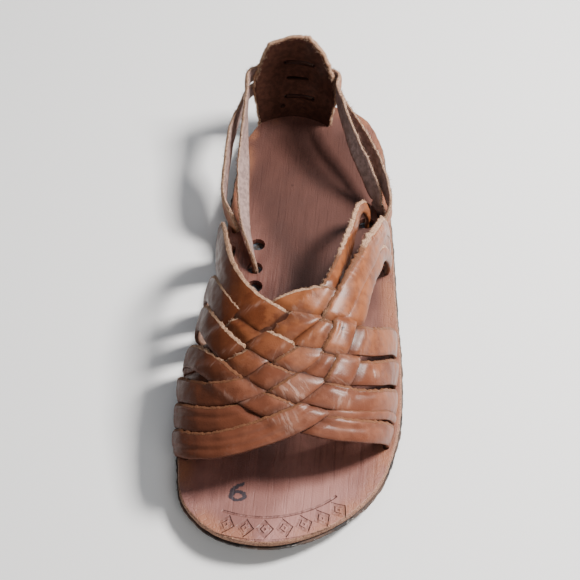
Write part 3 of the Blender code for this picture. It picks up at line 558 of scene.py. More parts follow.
@dataclass(frozen=True)
class InsoleLeather:
    """Finish of the insole: worn red-brown leather with streaks, stains and tooling; painted shadow
    at the heel, painted sheen at the toe.
    """

    name: str = "insole leather"
    light: tuple = rgba(0.285, 0.118, 0.088)
    dark: tuple = rgba(0.105, 0.034, 0.023)
    stain: tuple = rgba(0.050, 0.017, 0.012)
    worn: tuple = rgba(0.40, 0.155, 0.068)
    faded: tuple = rgba(0.46, 0.235, 0.215)
    edge: tuple = rgba(0.34, 0.185, 0.115)
    ink: tuple = rgba(0.020, 0.024, 0.034)
    tool_x: float = -9.0
    tool_y: float = -66.0
    tool_radius: float = 47.8
    tool_height: float = 5.0
    tool_count: float = 20.0
    tool_middle: float = 0.2356
    tool_spread: float = 0.54
    mark_x: float = -17.0
    mark_y: float = -98.5
    mark_size: float = 1.15
    pin: tuple = (-9.0, 66.4, 9.0)
    # The y in mm where the painted sheen on the toe is strongest and where it ends.
    toe_full: float = -104.0
    toe_none: float = -72.0

    def tooling(self, tree: Tree, spot: object) -> NodeSocket:
        """Return the mask of the row of plain stamps round the toe.

        Args:
            tree: The material's tree.
            spot: Object coordinates.

        Returns:
            A value that is 1 in the stamped lines.
        """
        middle = (-self.tool_x * MM, -self.tool_y * MM, 0.0)
        shifted = tree.add("ShaderNodeVectorMath", {0: spot, 1: middle}, operation="ADD").outputs[0]
        parts = tree.add("ShaderNodeSeparateXYZ", {0: shifted})
        x, y = parts.outputs[0], parts.outputs[1]
        squares = tree.plus(tree.times(x, x), tree.times(y, y))
        radius = tree.times(tree.math("SQRT", squares), 1 / MM)
        angle = tree.math("ARCTAN2", x, tree.times(y, -1.0))
        v = tree.math("DIVIDE", tree.minus(radius, self.tool_radius), self.tool_height)
        turns = tree.times(angle, self.tool_count / math.pi)
        u = tree.times(tree.minus(tree.math("FRACT", turns), 0.5), 2.0)
        petal = tree.plus(tree.math("ABSOLUTE", u), tree.math("ABSOLUTE", v))
        line = tree.math("ABSOLUTE", tree.minus(petal, 0.66))
        line = tree.remap(line, 0.16, 0.34, 1.0, 0.0)
        dot = tree.remap(petal, 0.08, 0.20, 1.0, 0.0)
        border = tree.math("ABSOLUTE", tree.minus(tree.math("ABSOLUTE", v), 1.12))
        rules = tree.remap(border, 0.05, 0.15, 1.0, 0.0)
        marks = tree.math("MAXIMUM", tree.math("MAXIMUM", line, dot), rules)
        away = tree.math("ABSOLUTE", tree.minus(angle, self.tool_middle))
        inside = tree.remap(away, self.tool_spread, self.tool_spread + 0.02, 1.0, 0.0)
        return tree.times(marks, inside)

    def number(self, tree: Tree, spot: object) -> NodeSocket:
        """Return the mask of the inked size number, a plain ring with a curved stem."""
        size = 1 / (self.mark_size * MM)
        moved = tree.add("ShaderNodeVectorMath",
                         {0: spot, 1: (-self.mark_x * MM, -self.mark_y * MM, 0.0)}, operation="ADD")
        wide = tree.add("ShaderNodeMapping",
                        {"Vector": moved.outputs[0], "Scale": (0.78 * size, size, 0.0)}).outputs[0]
        parts = tree.add("ShaderNodeSeparateXYZ", {0: wide})
        low = tree.add("ShaderNodeVectorMath", {0: wide}, operation="LENGTH").outputs["Value"]
        ring = tree.math("ABSOLUTE", tree.minus(low, 1.75))
        from_stem = tree.add(
            "ShaderNodeVectorMath", {0: wide, 1: (2.7, 0.9, 0.0)}, operation="DISTANCE")
        stem = tree.math("ABSOLUTE", tree.minus(from_stem.outputs["Value"], 4.4))
        x, y = parts.outputs[0], parts.outputs[1]
        side = tree.math("MAXIMUM", tree.remap(x, 1.3, 1.7), tree.remap(y, -0.1, 0.1, 1.0, 0.0))
        stem = tree.plus(stem, tree.times(side, 9.0))
        stroke = tree.math("MINIMUM", ring, stem)
        ragged = tree.times(tree.minus(tree.noise(spot, 900.0, 4.0), 0.5), 1.1)
        return tree.remap(tree.plus(stroke, ragged), 0.52, 0.76, 1.0, 0.0)

    def material(self) -> Material:
        """Build the material, which reads the attributes cut, rim, soil and polish."""
        tree, shader, material = start_material(
            self.name, Coat_Weight=0.10, Coat_Roughness=0.42, Specular_IOR_Level=0.36)
        spot = tree.place()
        grain = use(tree, EFFECTS.grain(), {"Vector": spot, "Size": 0.8})
        wear = use(tree, EFFECTS.dirt(), {"Vector": spot, "Amount": 0.8})
        broad = tree.remap(tree.noise(spot, 26.0, 5.0, (1.0, 0.55, 1.0)), 0.36, 0.66)
        colour = tree.mix(broad, self.dark, self.light)
        streak = tree.remap(tree.noise(spot, 1.0, 5.0, (330.0, 20.0, 60.0)), 0.45, 0.66)
        fibre = tree.remap(tree.noise(spot, 1.0, 4.0, (900.0, 55.0, 100.0)), 0.52, 0.70)
        patchy = tree.remap(tree.noise(spot, 120.0, 5.0), 0.2, 0.7, 0.55, 1.0)
        colour = tree.paint(
            colour, (streak, 0.35, self.light), (fibre, 0.42, self.dark),
            (grain.outputs["Tone"], 0.16, self.dark), (wear.outputs["Scuff"], 0.22, self.light),
            (wear.outputs["Dirt"], 0.30, self.stain), (tree.attribute("soil"), patchy, self.stain))
        # Painted sheen: the toe is lighter and pinker towards its tip.
        toe = tree.add("ShaderNodeSeparateXYZ", {0: spot}).outputs[1]
        toe = tree.remap(toe, self.toe_full * MM, self.toe_none * MM, 0.55, 0.0)
        # Painted shadow of the counter and heel straps over the heel, together with foot darkening.
        polish = tree.attribute("polish")
        rim = tree.attribute("rim")
        patch = tree.remap(tree.noise(spot, 48.0, 4.0), 0.35, 0.60)
        colour = tree.paint(
            colour, (toe, tree.remap(broad, 0.0, 1.0, 0.6, 1.0), self.faded),
            (polish, tree.remap(broad, 0.0, 1.0, 0.94, 0.84), self.stain),
            (tree.times(rim, patch), 0.5, self.worn))
        place = tuple(v * MM for v in self.pin)
        away = tree.add("ShaderNodeVectorMath", {0: spot, 1: place}, operation="DISTANCE")
        away = away.outputs["Value"]
        colour = tree.mix(tree.remap(away, 0.5 * MM, 1.1 * MM, 0.92, 0.0), colour, self.stain)
        firm = tree.remap(tree.noise(spot, 300.0, 3.0), 0.3, 0.6, 0.35, 1.0)
        pressed = tree.times(self.tooling(tree, spot), firm)
        colour = tree.paint(
            colour, (self.number(tree, spot), 0.88, self.ink), (pressed, 0.30, self.stain))
        edge = {"Vector": spot, "Cut": tree.attribute("cut"), "Rough": 0.8}
        torn = use(tree, EFFECTS.torn(), edge)
        pale = tree.mix(tree.remap(torn.outputs["Fibre"], 0.36, 0.60), self.dark, self.edge)
        colour = tree.mix(torn.outputs["Mask"], colour, pale)
        tree.join(colour, shader, "Base Color")
        rough = tree.build_up(
            tree.remap(broad, 0.0, 1.0, 0.46, 0.60), (polish, 0.30), (torn.outputs["Mask"], 0.3))
        tree.join(rough, shader, "Roughness")
        cracks = tree.add("ShaderNodeTexVoronoi", {"Vector": spot, "Scale": 420.0},
                          feature="DISTANCE_TO_EDGE").outputs["Distance"]
        cracks = tree.times(tree.remap(cracks, 0.0, 0.10, 1.0, 0.0), rim)
        height = tree.build_up(
            grain.outputs["Height"], (streak, 0.5), (fibre, -0.5), (cracks, -0.7), (pressed, -5.0))
        add_bump(tree, shader, height, 0.14)
        return material


@dataclass(frozen=True)
class OutsoleRubber:
    """Finish of the outsole: matt black-brown rubber with pale cord flecks."""

    name: str = "outsole rubber"
    black: tuple = rgba(0.028, 0.024, 0.023)
    brown: tuple = rgba(0.085, 0.050, 0.036)
    fleck: tuple = rgba(0.42, 0.40, 0.37)
    deck: tuple = rgba(0.16, 0.22, 0.28)

    def material(self) -> Material:
        """Build the material, which reads cut on the sole's side and deck on its top."""
        tree, shader, material = start_material(self.name, Specular_IOR_Level=0.35)
        spot = tree.place()
        brown = tree.remap(tree.noise(spot, 60.0, 5.0), 0.4, 0.62)
        colour = tree.mix(brown, self.black, self.brown)
        side = tree.attribute("cut")
        normal = tree.add("ShaderNodeNewGeometry").outputs["Normal"]
        facing = tree.add("ShaderNodeSeparateXYZ", {0: normal}).outputs[2]
        top = tree.times(tree.remap(facing, 0.5, 0.9), tree.attribute("deck"))
        # Bluish patches on the top of the deck, seen through the holes.
        bluish_patches = tree.times(top, tree.remap(tree.noise(spot, 260.0, 3.0), 0.46, 0.60))
        cords = tree.remap(tree.noise(spot, 1.0, 3.0, (420.0, 420.0, 1400.0)), 0.60, 0.68)
        torn = tree.times(tree.times(cords, side), 0.75)
        wear = use(tree, EFFECTS.dirt(), {"Vector": spot, "Amount": 0.6})
        colour = tree.paint(colour, (bluish_patches, 1.0, self.deck), (torn, 1.0, self.fleck),
                            (wear.outputs["Scuff"], 0.3, self.fleck))
        tree.join(colour, shader, "Base Color")
        tree.join(tree.remap(torn, 0.0, 1.0, 0.72, 0.92), shader, "Roughness")
        rough = tree.plus(tree.noise(spot, 900.0, 5.0), tree.times(cords, 0.6))
        add_bump(tree, shader, rough, 0.30)
        return material


@dataclass(frozen=True)
class Plain:
    """A simple finish with a little grain, for fibres and cord ends."""

    name: str
    colour: tuple
    second: tuple
    roughness: float = 0.85

    def material(self) -> Material:
        """Build the material."""
        tree, shader, material = start_material(self.name, Specular_IOR_Level=0.3)
        spot = tree.place()
        share = tree.remap(tree.noise(spot, 500.0, 4.0), 0.4, 0.62)
        tree.join(tree.mix(share, self.colour, self.second), shader, "Base Color")
        shader.inputs["Roughness"].default_value = self.roughness
        add_bump(tree, shader, share, 0.05)
        return material


def link(name: str, data: object) -> Object:
    """Make an object from its data and put it in the scene."""
    made = bpy.data.objects.new(name, data)
    bpy.context.scene.collection.objects.link(made)
    return made


def new_object(name: str, vertices: Array, faces: Sequence[tuple], material: Material | None,
               values: dict[str, Array] | None = None,
               shift: float = LAST.centre_shift) -> Object:
    """Make a closed, smooth mesh object from points in mm.

    Args:
        name: The piece's name.
        vertices: Its points in mm.
        faces: Its faces.
        material: Its material.
        values: Point attributes by name.
        shift: Move across to the frame's origin.

    Returns:
        The object, at the origin.
    """
    mesh = bpy.data.meshes.new(name)
    points = (np.asarray(vertices, float) + (shift, 0.0, 0.0)) * MM
    mesh.from_pydata(points.tolist(), [], [tuple(int(i) for i in f) for f in faces])
    for label, numbers in (values or {}).items():
        layer = mesh.attributes.new(label, "FLOAT", "POINT")
        layer.data.foreach_set("value", np.asarray(numbers, np.float32).ravel())
    work = bmesh.new()
    work.from_mesh(mesh)
    bmesh.ops.recalc_face_normals(work, faces=work.faces)
    work.to_mesh(mesh)
    work.free()
    mesh.shade_smooth()
    made = link(name, mesh)
    if material:
        mesh.materials.append(material)
    return made


def cut_away(base: Object, cutters: Sequence[Object]) -> None:
    """Cut a piece with others, and remove them."""
    for cutter in cutters:
        step = base.modifiers.new("cut", "BOOLEAN")
        step.operation = "DIFFERENCE"
        step.solver = "MANIFOLD"
        step.object = cutter
    bpy.context.view_layer.update()
    depsgraph = bpy.context.evaluated_depsgraph_get()
    result = bpy.data.meshes.new_from_object(base.evaluated_get(depsgraph))
    base.modifiers.clear()
    result.name = base.name
    base.data = result
    for cutter in cutters:
        bpy.data.objects.remove(cutter, do_unlink=True)


def round_slot(long: float, wide: float, steps: int) -> Array:
    """Return the outline of a slot with round ends, along and across it in mm."""
    ring = []
    for end in (1.0, -1.0):
        for k in range(steps):
            angle = math.pi * (k / (steps - 1) - 0.5)
            reach = end * (long / 2 - wide / 2) + end * math.cos(angle) * wide / 2
            ring.append((reach, end * math.sin(angle) * wide / 2))
    return np.array(ring)


def plug(name: str, low: Array, high: Array) -> Object:
    """Make a closed cutter between two rings of points in mm."""
    size = len(low)
    faces = [tuple(range(size)), tuple(range(2 * size - 1, size - 1, -1))]
    faces += [(k, (k + 1) % size, (k + 1) % size + size, k + size) for k in range(size)]
    return new_object(name, np.vstack([low, high]), faces, None)


def prism(name: str, centre: Sequence[float], long: float, wide: float, depth: float,
          direction: Sequence[float]) -> Object:
    """Make an upright cutter with round ends, as long as a slot needs.

    Args:
        name: Its name.
        centre: Its middle, in mm.
        long: Length of the slot.
        wide: Width of the slot.
        depth: Height of the cutter.
        direction: Horizontal direction of the slot.

    Returns:
        The cutter.
    """
    ahead = unit(np.array([direction[0], direction[1], 0.0]))
    side = np.cross(UP, ahead)
    ring = round_slot(long, wide, 7) @ np.stack([ahead, side]) + centre
    return plug(name, ring - UP * depth / 2, ring + UP * depth / 2)


@dataclass(frozen=True)
class Profile:
    """Round of a strap's cross-section, in order, with what each place shows."""

    crown: float = 0.42
    crown_points: int = 15
    full_half: float = 4.6
    # Both edges and the underside: side (share of half width), inset in mm, height (share
    # of half the thickness), cut, flesh, shade.
    # The toe-facing edge is kept less pale than the heel-facing one and carries painted shade,
    # since it faces away from the light.
    toe_edge: tuple = (
        (-1.00, 0.03, -0.60, 0.30, 0.3, 0.9),
        (-1.00, 0.00, 0.05, 0.25, 0.0, 0.8),
        (-1.00, 0.08, 0.55, 0.15, 0.0, 0.5),
        (-1.00, 0.34, 0.90, 0.0, 0.0, 0.15),
    )
    heel_edge: tuple = (
        (1.00, 1.50, 1.06, 0.20, 0.0, 0.0),
        (1.00, 1.18, 0.98, 0.80, 0.0, 0.0),
        (1.00, 0.80, 0.72, 1.00, 0.0, 0.0),
        (1.00, 0.36, 0.36, 1.00, 0.0, 0.0),
        (1.00, 0.06, 0.00, 1.00, 0.0, 0.0),
        (1.00, 0.00, -0.45, 1.00, 0.1, 0.0),
        (1.00, 0.12, -0.90, 1.00, 0.5, 0.1),
    )
    underside: tuple = (
        (0.80, 0.50, -1.00, 0.0, 1.0, 0.0),
        (0.30, 0.50, -1.00, 0.0, 1.0, 0.0),
        (-0.30, 0.50, -1.00, 0.0, 1.0, 0.0),
        (-0.80, 0.50, -1.00, 0.0, 1.0, 0.0),
    )

    def rows(self) -> Array:
        """Return the whole round as one table."""
        sides = np.linspace(-0.82, 0.72, self.crown_points)
        top = [(side, 0.8, 1.0 + self.crown * (1 - side**2), 0.0, 0.0, 0.0) for side in sides]
        return np.array(list(self.toe_edge) + top + list(self.heel_edge) + list(self.underside))

    def column(self, number: int) -> Array:
        """Return one column of the round."""
        return self.rows()[:, number]

    def lateral(self, half: Array, rag: Array, flare: float | Array = 1.0) -> Array:
        """Return the sideways places in mm, for each section and each place."""
        narrow = (np.minimum(half / self.full_half, 1.0) * flare)[:, None]
        inset = self.column(1)[None, :] * narrow + rag * self.column(3)[None, :] * narrow
        return self.column(0)[None, :] * (half[:, None] - inset)

    def values(self, flat: tuple, cover: object, bend: object, tint: object) -> dict:
        """Return what the leather reads, for each section and each place."""
        given = {"cut": self.column(3), "flesh": self.column(4), "cover": cover, "bend": bend,
                 "tint": tint}
        return {name: np.broadcast_to(value, flat) for name, value in given.items()}


PROFILE = Profile()


def ring_faces(sections: int, size: int) -> list[tuple]:
    """Return the faces of a closed tube of rings, with both ends closed."""
    faces = []
    for k in range(sections - 1):
        for j in range(size):
            a = k * size + j
            b = k * size + (j + 1) % size
            faces.append((a, b, b + size, a + size))
    faces.append(tuple(range(size)))
    faces.append(tuple(range((sections - 1) * size, sections * size)))
    return faces


def set_uv(made: Object, along: Array, across: Array) -> None:
    """Give a strap a UV map in metres: along the strap and across it."""
    layer = made.data.uv_layers.new(name="strap")
    numbers = np.zeros(len(made.data.loops), np.int32)
    made.data.loops.foreach_get("vertex_index", numbers)
    pairs = np.stack([along.ravel()[numbers], across.ravel()[numbers]], axis=1) * MM
    layer.data.foreach_set("uv", pairs.astype(np.float32).ravel())


@dataclass(frozen=True)
class Strap:
    """One strap of the vamp: its place on the last, width and which edge is pale."""

    name: str
    width: float
    end_share: float
    heelward: Toe
    tint: float
    rows: tuple
    straight_from: float = 0.93

    def centre_line(self, count: int) -> Array:
        """Return rows of across, station, lift and direction along the strap."""
        scale = np.array([LAST.ball_width / 2, LAST.length, 1.0])
        rows = smooth(np.array(self.rows) * scale, 20 * count) / scale
        centre = LAST.point(rows[:, 0], rows[:, 1], rows[:, 2])
        ahead = unit(np.gradient(centre, axis=0))
        rows = by_length(np.hstack([rows, ahead]), centre, count)
        open_part = np.nonzero(np.abs(rows[:, 0]) <= self.straight_from)[0]
        rows[:open_part[0], 3:] = rows[open_part[0], 3:]
        rows[open_part[-1]:, 3:] = rows[open_part[-1], 3:]
        return rows

    def half_widths(self, count: int) -> Array:
        """Return half the width of the strap at each section."""
        at = np.linspace(0.0, 1.0, count)
        start = self.end_share + (1 - self.end_share) * ease(at, 0.03, 0.30)
        slim = 1 - (0.10 if self.heelward is Toe.RIDGE else 0.0) * ease(at, 0.62, 0.86)
        return self.width * start * slim / 2


@dataclass
class WovenUpper:
    """The vamp: straps that run out to the sole's edge and straps that cross them."""

    strap_width: float = 10.7
    thickness: float = 1.7
    rise: float = 0.98
    tilt: float = 0.42
    dive: float = 3.6
    sections: int = 240
    foot_drops: tuple = (0.7, 1.5, 2.4, 3.6, 5.2)
    # Lengthwise creases: strap, its share from and to, lateral share, depth and width in mm.
    creases: tuple = (
        ("inner_row_4", 0.50, 0.86, 0.18, 0.42, 1.0),
        ("inner_row_4", 0.60, 0.99, -0.42, 0.30, 0.9),
        ("inner_row_3", 0.66, 0.98, 0.10, 0.30, 1.1),
        ("outer_row_3", 0.62, 0.96, 0.55, 0.30, 1.0),
        ("outer_row_4", 0.60, 0.95, 0.20, 0.34, 1.2),
        ("inner_row_3", 0.40, 0.52, 0.45, 0.38, 0.9),
        ("outer_row_1", 0.10, 0.42, -0.30, 0.22, 1.6),
        ("throat_strap", 0.06, 0.30, 0.20, 0.30, 1.0),
        ("inner_row_2", 0.08, 0.30, -0.10, 0.30, 1.0),
    )
    # Crackled places that also paint a highlight: strap, its across, its station, radius in mm and
    # strength.
    crackles: tuple = (
        ("inner_row_3", 0.10, 0.785, 7.5, 0.55), ("outer_row_2", 0.62, 0.722, 2.6, 1.00),
        ("inner_row_3", 0.36, 0.675, 2.6, 0.80), ("outer_row_3", 0.40, 0.783, 5.0, 0.45),
        ("inner_row_4", 0.10, 0.835, 6.0, 0.40), ("outer_row_1", 0.30, 0.690, 2.4, 0.35),
    )
    # Where the straps change their tone: x or y in mm, from and to; the first two paint shade on
    # the inner side.
    inner_x: tuple = (-36.0, 8.0)
    shaded_x: tuple = (-42.0, -4.0)
    front_y: tuple = (-82.0, -50.0)
    rosy_y: tuple = (-72.0, -40.0)
    burnt_x: tuple = (2.0, 20.0)
    burnt_end_y: tuple = (-14.0, 4.0)
    burnt_front_y: tuple = (-66.0, -46.0)
    finish: StrapLeather = field(default_factory=lambda: StrapLeather("strap leather"))

    def straps(self) -> list[Strap]:
        """Return the straps with their places.

        Returns:
            The ridges from the inner side, the crossing straps from the waist, and the
            narrow strap at the front.
        """
        ridge, crosser = Toe.RIDGE, Toe.CROSSER
        wide = self.strap_width
        return [
            Strap("outer_row_1", 1.22 * wide, 1.0, ridge, 0.40, (
                (-1.00, 0.411, 0), (-0.86, 0.429, 1.0), (-0.74, 0.472, 1.0), (-0.59, 0.547, 0),
                (-0.37, 0.621, 0), (-0.18, 0.662, 0), (0.02, 0.688, 0), (0.20, 0.692, 0),
                (0.38, 0.688, 0), (0.58, 0.670, 0), (0.82, 0.629, 0), (1.00, 0.593, 0))),
            Strap("outer_row_2", 1.05 * wide, 1.0, ridge, 0.34, (
                (-1.00, 0.526, 0), (-0.78, 0.555, 0), (-0.54, 0.617, 0), (-0.30, 0.678, 0),
                (-0.06, 0.720, 0), (0.11, 0.735, 0), (0.26, 0.739, 0), (0.42, 0.737, 0),
                (0.62, 0.720, 0), (0.84, 0.684, 0), (1.00, 0.654, 0))),
            Strap("outer_row_3", wide, 1.0, ridge, 0.42, (
                (-1.00, 0.593, 0), (-0.78, 0.613, 0), (-0.56, 0.662, 0), (-0.36, 0.712, 0),
                (-0.20, 0.745, 0), (-0.04, 0.769, 0), (0.12, 0.780, 0), (0.30, 0.785, 0),
                (0.56, 0.774, 0), (0.82, 0.741, 0), (1.00, 0.712, 0))),
            Strap("outer_row_4", 0.92 * wide, 1.0, ridge, 0.40, (
                (-1.00, 0.666, 0), (-0.78, 0.688, 0), (-0.50, 0.732, 0), (-0.27, 0.778, 0),
                (-0.08, 0.807, 0), (0.10, 0.823, 0), (0.31, 0.831, 0), (0.58, 0.821, 0),
                (0.82, 0.799, 0), (1.00, 0.778, 0))),
            Strap("throat_strap", 1.12 * wide, 0.45, crosser, 0.55, (
                (1.00, 0.396, -1.3), (0.80, 0.432, -1.3), (0.65, 0.487, -1.3), (0.51, 0.562, -1.3),
                (0.42, 0.603, -0.8), (0.32, 0.629, 0), (0.20, 0.636, 0), (0.06, 0.648, 0),
                (-0.10, 0.668, 0), (-0.28, 0.690, 0), (-0.42, 0.704, -0.4), (-0.62, 0.708, -1.3),
                (-0.84, 0.688, -1.3), (-1.00, 0.670, -1.3))),
            Strap("inner_row_1", 0.95 * wide, 0.50, crosser, 0.55, (
                (1.00, 0.309, -7.4), (0.93, 0.317, -8.5), (0.83, 0.349, -10.0),
                (0.74, 0.396, -10.5), (0.64, 0.450, -10.0), (0.50, 0.511, -8.5),
                (0.36, 0.571, -4.5), (0.26, 0.617, -0.8), (0.14, 0.658, 0), (0.02, 0.688, 0),
                (-0.08, 0.718, 0), (-0.21, 0.745, 0), (-0.40, 0.759, -0.4),
                (-0.66, 0.745, -1.3), (-0.86, 0.726, -1.3), (-1.00, 0.716, -1.3))),
            Strap("inner_row_2", 0.92 * wide, 0.80, crosser, 0.60, (
                (1.00, 0.365, 0), (0.84, 0.394, 0), (0.66, 0.464, 0), (0.54, 0.522, 0),
                (0.41, 0.588, 0), (0.32, 0.642, 0), (0.24, 0.692, 0), (0.11, 0.735, 0),
                (-0.04, 0.765, 0), (-0.22, 0.787, 0), (-0.42, 0.787, 0), (-0.66, 0.765, 0),
                (-0.86, 0.737, 0), (-1.00, 0.718, 0))),
            Strap("inner_row_3", 0.92 * wide, 0.50, crosser, 0.50, (
                (1.00, 0.396, 0), (0.80, 0.432, 0), (0.65, 0.487, 0), (0.50, 0.568, 0),
                (0.39, 0.637, 0), (0.34, 0.692, 0), (0.26, 0.739, 0), (0.11, 0.782, 0),
                (-0.08, 0.815, 0), (-0.30, 0.829, 0), (-0.54, 0.821, 0), (-0.78, 0.795, 0),
                (-1.00, 0.767, 0))),
            Strap("inner_row_4", 0.98 * wide, 0.50, crosser, 0.45, (
                (1.00, 0.421, 0), (0.81, 0.456, 0), (0.66, 0.511, 0), (0.53, 0.567, 0),
                (0.45, 0.632, 0), (0.42, 0.692, 0), (0.38, 0.741, 0), (0.30, 0.787, 0),
                (0.18, 0.821, 0), (-0.04, 0.852, 0), (-0.30, 0.869, 0), (-0.56, 0.863, 0),
                (-0.80, 0.840, 0), (-1.00, 0.821, 0))),
            Strap("outer_row_thin", 0.36 * wide, 1.0, ridge, 0.5, (
                (0.20, 0.812, -1.0), (0.32, 0.811, -0.8), (0.46, 0.805, 0), (0.64, 0.790, 0),
                (0.84, 0.765, 0), (1.00, 0.746, 0))),
        ]

    def over_under(self, straps: list[Strap]) -> list[tuple[str, str]]:
        """Return the pairs of straps that cross, each with the upper one first."""
        ridges = [s.name for s in straps if s.heelward is Toe.RIDGE and "thin" not in s.name]
        crossers = [s.name for s in straps if s.heelward is Toe.CROSSER]
        pairs = []
        for i, ridge in enumerate(ridges):
            for j, crosser in enumerate(crossers):
                if (ridge, crosser) == ("outer_row_4", "throat_strap"):
                    continue
                pairs.append((ridge, crosser) if (i + j) % 2 == 0 else (crosser, ridge))
        pairs += [("throat_strap", "inner_row_1"), ("inner_row_2", "throat_strap")]
        return pairs

    def build(self) -> list[Object]:
        """Build every strap of the vamp.

        Returns:
            One object for each strap.
        """
        material = self.finish.material()
        straps = self.straps()
        lines = {s.name: s.centre_line(self.sections) for s in straps}
        halves = {s.name: s.half_widths(self.sections) for s in straps}
        spines = {n: LAST.surface(r[:, 0], r[:, 1]) for n, r in lines.items()}
        pairs = self.over_under(straps)
        made = []
        for number, strap in enumerate(straps):
            rows, half = lines[strap.name], halves[strap.name]
            across, station, lift = rows[:, 0], rows[:, 1], rows[:, 2]
            normal = LAST.normal(across, station)
            sideways = unit(np.cross(rows[:, 3:], normal)) * strap.heelward.value
            by_across, by_station = LAST.slopes(across, station)
            aa = np.sum(by_across**2, axis=1)
            bb = np.sum(by_station**2, axis=1)
            ab = np.sum(by_across * by_station, axis=1)
            det = aa * bb - ab * ab
            rag = 0.20 * ripple(spines[strap.name], 2.2, 40 + number)[:, None]
            rag = rag + 0.10 * ripple(spines[strap.name], 0.9, 70 + number)[:, None]
            waist = ease(across, 0.36, 0.60) if strap.heelward is Toe.CROSSER else 0.0 * across
            rag = rag * (1 + 1.2 * waist[:, None])
            wavy = half * (1 + 0.025 * ripple(spines[strap.name], 30.0, number))
            lateral = PROFILE.lateral(wavy, rag, 1 + 0.45 * waist)
            move = sideways[:, None, :] * lateral[..., None]
            pa = np.sum(by_across[:, None, :] * move, axis=2)
            pb = np.sum(by_station[:, None, :] * move, axis=2)
            a = across[:, None] + (bb[:, None] * pa - ab[:, None] * pb) / det[:, None]
            a = np.clip(a, -1 - LAST.dive_share, 1 + LAST.dive_share)
            s = station[:, None] + (aa[:, None] * pb - ab[:, None] * pa) / det[:, None]
            base = LAST.surface(a, s)
            weave = np.zeros(a.shape)
            cover = np.zeros(a.shape)
            bend = np.zeros(a.shape)
            free = 1 - ease(np.abs(a), 0.93, 1.0)
            for upper, lower in pairs:
                if strap.name not in (upper, lower):
                    continue
                other = lower if strap.name == upper else upper
                spine = spines[other][None, None, ::2, :]
                gaps = np.linalg.norm(base[:, :, None, :] - spine, axis=3)
                nearest = np.argmin(gaps, axis=2)
                distance = np.min(gaps, axis=2)
                reach = halves[other][::2][nearest]
                near = 1 - ease(distance - reach, -0.8, self.dive)
                weave += near * free * (self.rise if strap.name == upper else -self.rise)
                # Painted shade on the lower strap near the crossing, darkest along the upper
                # strap's edge.
                if strap.name == lower:
                    cover = np.maximum(cover, 0.42 * (1 - ease(distance - reach, -0.3, 3.4)) * free)
                if strap.name == lower and upper not in ("throat_strap", "inner_row_2"):
                    cover = np.maximum(cover, 0.95 * (1 - ease(distance - reach, -0.4, 1.0)) * free)
                else:
                    fold = np.exp(-((distance - reach + 0.4) / 1.0) ** 2)
                    bend = np.maximum(bend, 0.30 * fold * free)
            weave = np.clip(weave, -self.rise, self.rise)
            share = lateral / half[:, None]
            weave = weave + self.tilt * share * free
            weave = weave + (0.16 * ripple(base, 15.0, 7) + 0.05 * ripple(base, 5.0, 8)) * free
            weave = weave - self.troughs(strap.name, share, half)
            level = lift[:, None] + weave + PROFILE.column(2)[None, :] * self.thickness / 2
            points = LAST.point(a, s, level)
            straight = LAST.surface(across, station)[:, None, :] + move
            straight = straight + normal[:, None, :] * level[..., None]
            side = ease(np.abs(across), 0.86, 0.94)[:, None, None]
            points = points * (1 - side) + straight * side
            # Crackled spots that also paint a highlight.
            for name, at_across, at_station, radius, strength in self.crackles:
                if name == strap.name:
                    middle = LAST.surface(np.array(at_across), np.array(at_station))
                    gap = np.linalg.norm(base - middle, axis=2)
                    bend = np.maximum(bend, strength * (1 - ease(gap, 0.3 * radius, radius)))
            # Painted shade on the toe-facing edge.
            cover = np.maximum(cover, PROFILE.column(5)[None, :] * 0.85)
            made.append(self.mesh(strap, points, lateral, cover, bend, material))
        return made

    def troughs(self, name: str, share: Array, half: Array) -> Array:
        """Return how deep the listed creases of one strap are.

        Args:
            name: The strap's name.
            share: Lateral share of each vertex.
            half: Half width of each section in mm.

        Returns:
            Depths in mm, none on the underside.
        """
        at = np.linspace(0.0, 1.0, len(share))[:, None]
        top = (PROFILE.column(2) > 0.95)[None, :]
        depth = np.zeros(share.shape)
        for strap, start, end, side, deep, wide in self.creases:
            if strap == name:
                run = ease(at, start, start + 0.08) * (1 - ease(at, end - 0.08, end))
                drift = side + 0.12 * np.sin(at * 23.0)
                gap = (share - drift) * half[:, None]
                trough = np.exp(-((gap / wide) ** 2))
                ridge = np.exp(-(((gap - 1.6 * wide) / wide) ** 2))
                depth += deep * run * (trough - 0.5 * ridge)
        return depth * top

    def mesh(self, strap: Strap, points: Array, lateral: Array, cover: Array,
             bend: Array, material: Material) -> Object:
        """Make one strap's mesh with the values that its leather reads."""
        for end, number in ((0, 0), (-1, len(points))):
            if abs(strap.rows[end][0]) == 1.0:
                drops = np.array(self.foot_drops if end else self.foot_drops[::-1])
                foot = points[end][None] - drops[:, None, None] * UP
                points = np.insert(points, [number] * len(drops), foot, axis=0)
                lateral, cover, bend = (np.insert(v, [number] * len(drops), v[end], axis=0)
                                        for v in (lateral, cover, bend))
        lowest = LAST.deck(LAST.station(points[..., 1])) + LAST.fit + 0.1
        points[..., 2] = np.maximum(points[..., 2], lowest)
        flat = points.shape[:2]
        steps = np.linalg.norm(np.diff(points[:, 6], axis=0), axis=1)
        along = np.concatenate([[0.0], np.cumsum(steps)])[:, None] + 40.0 * len(strap.name)
        x, y = points[..., 0], points[..., 1]
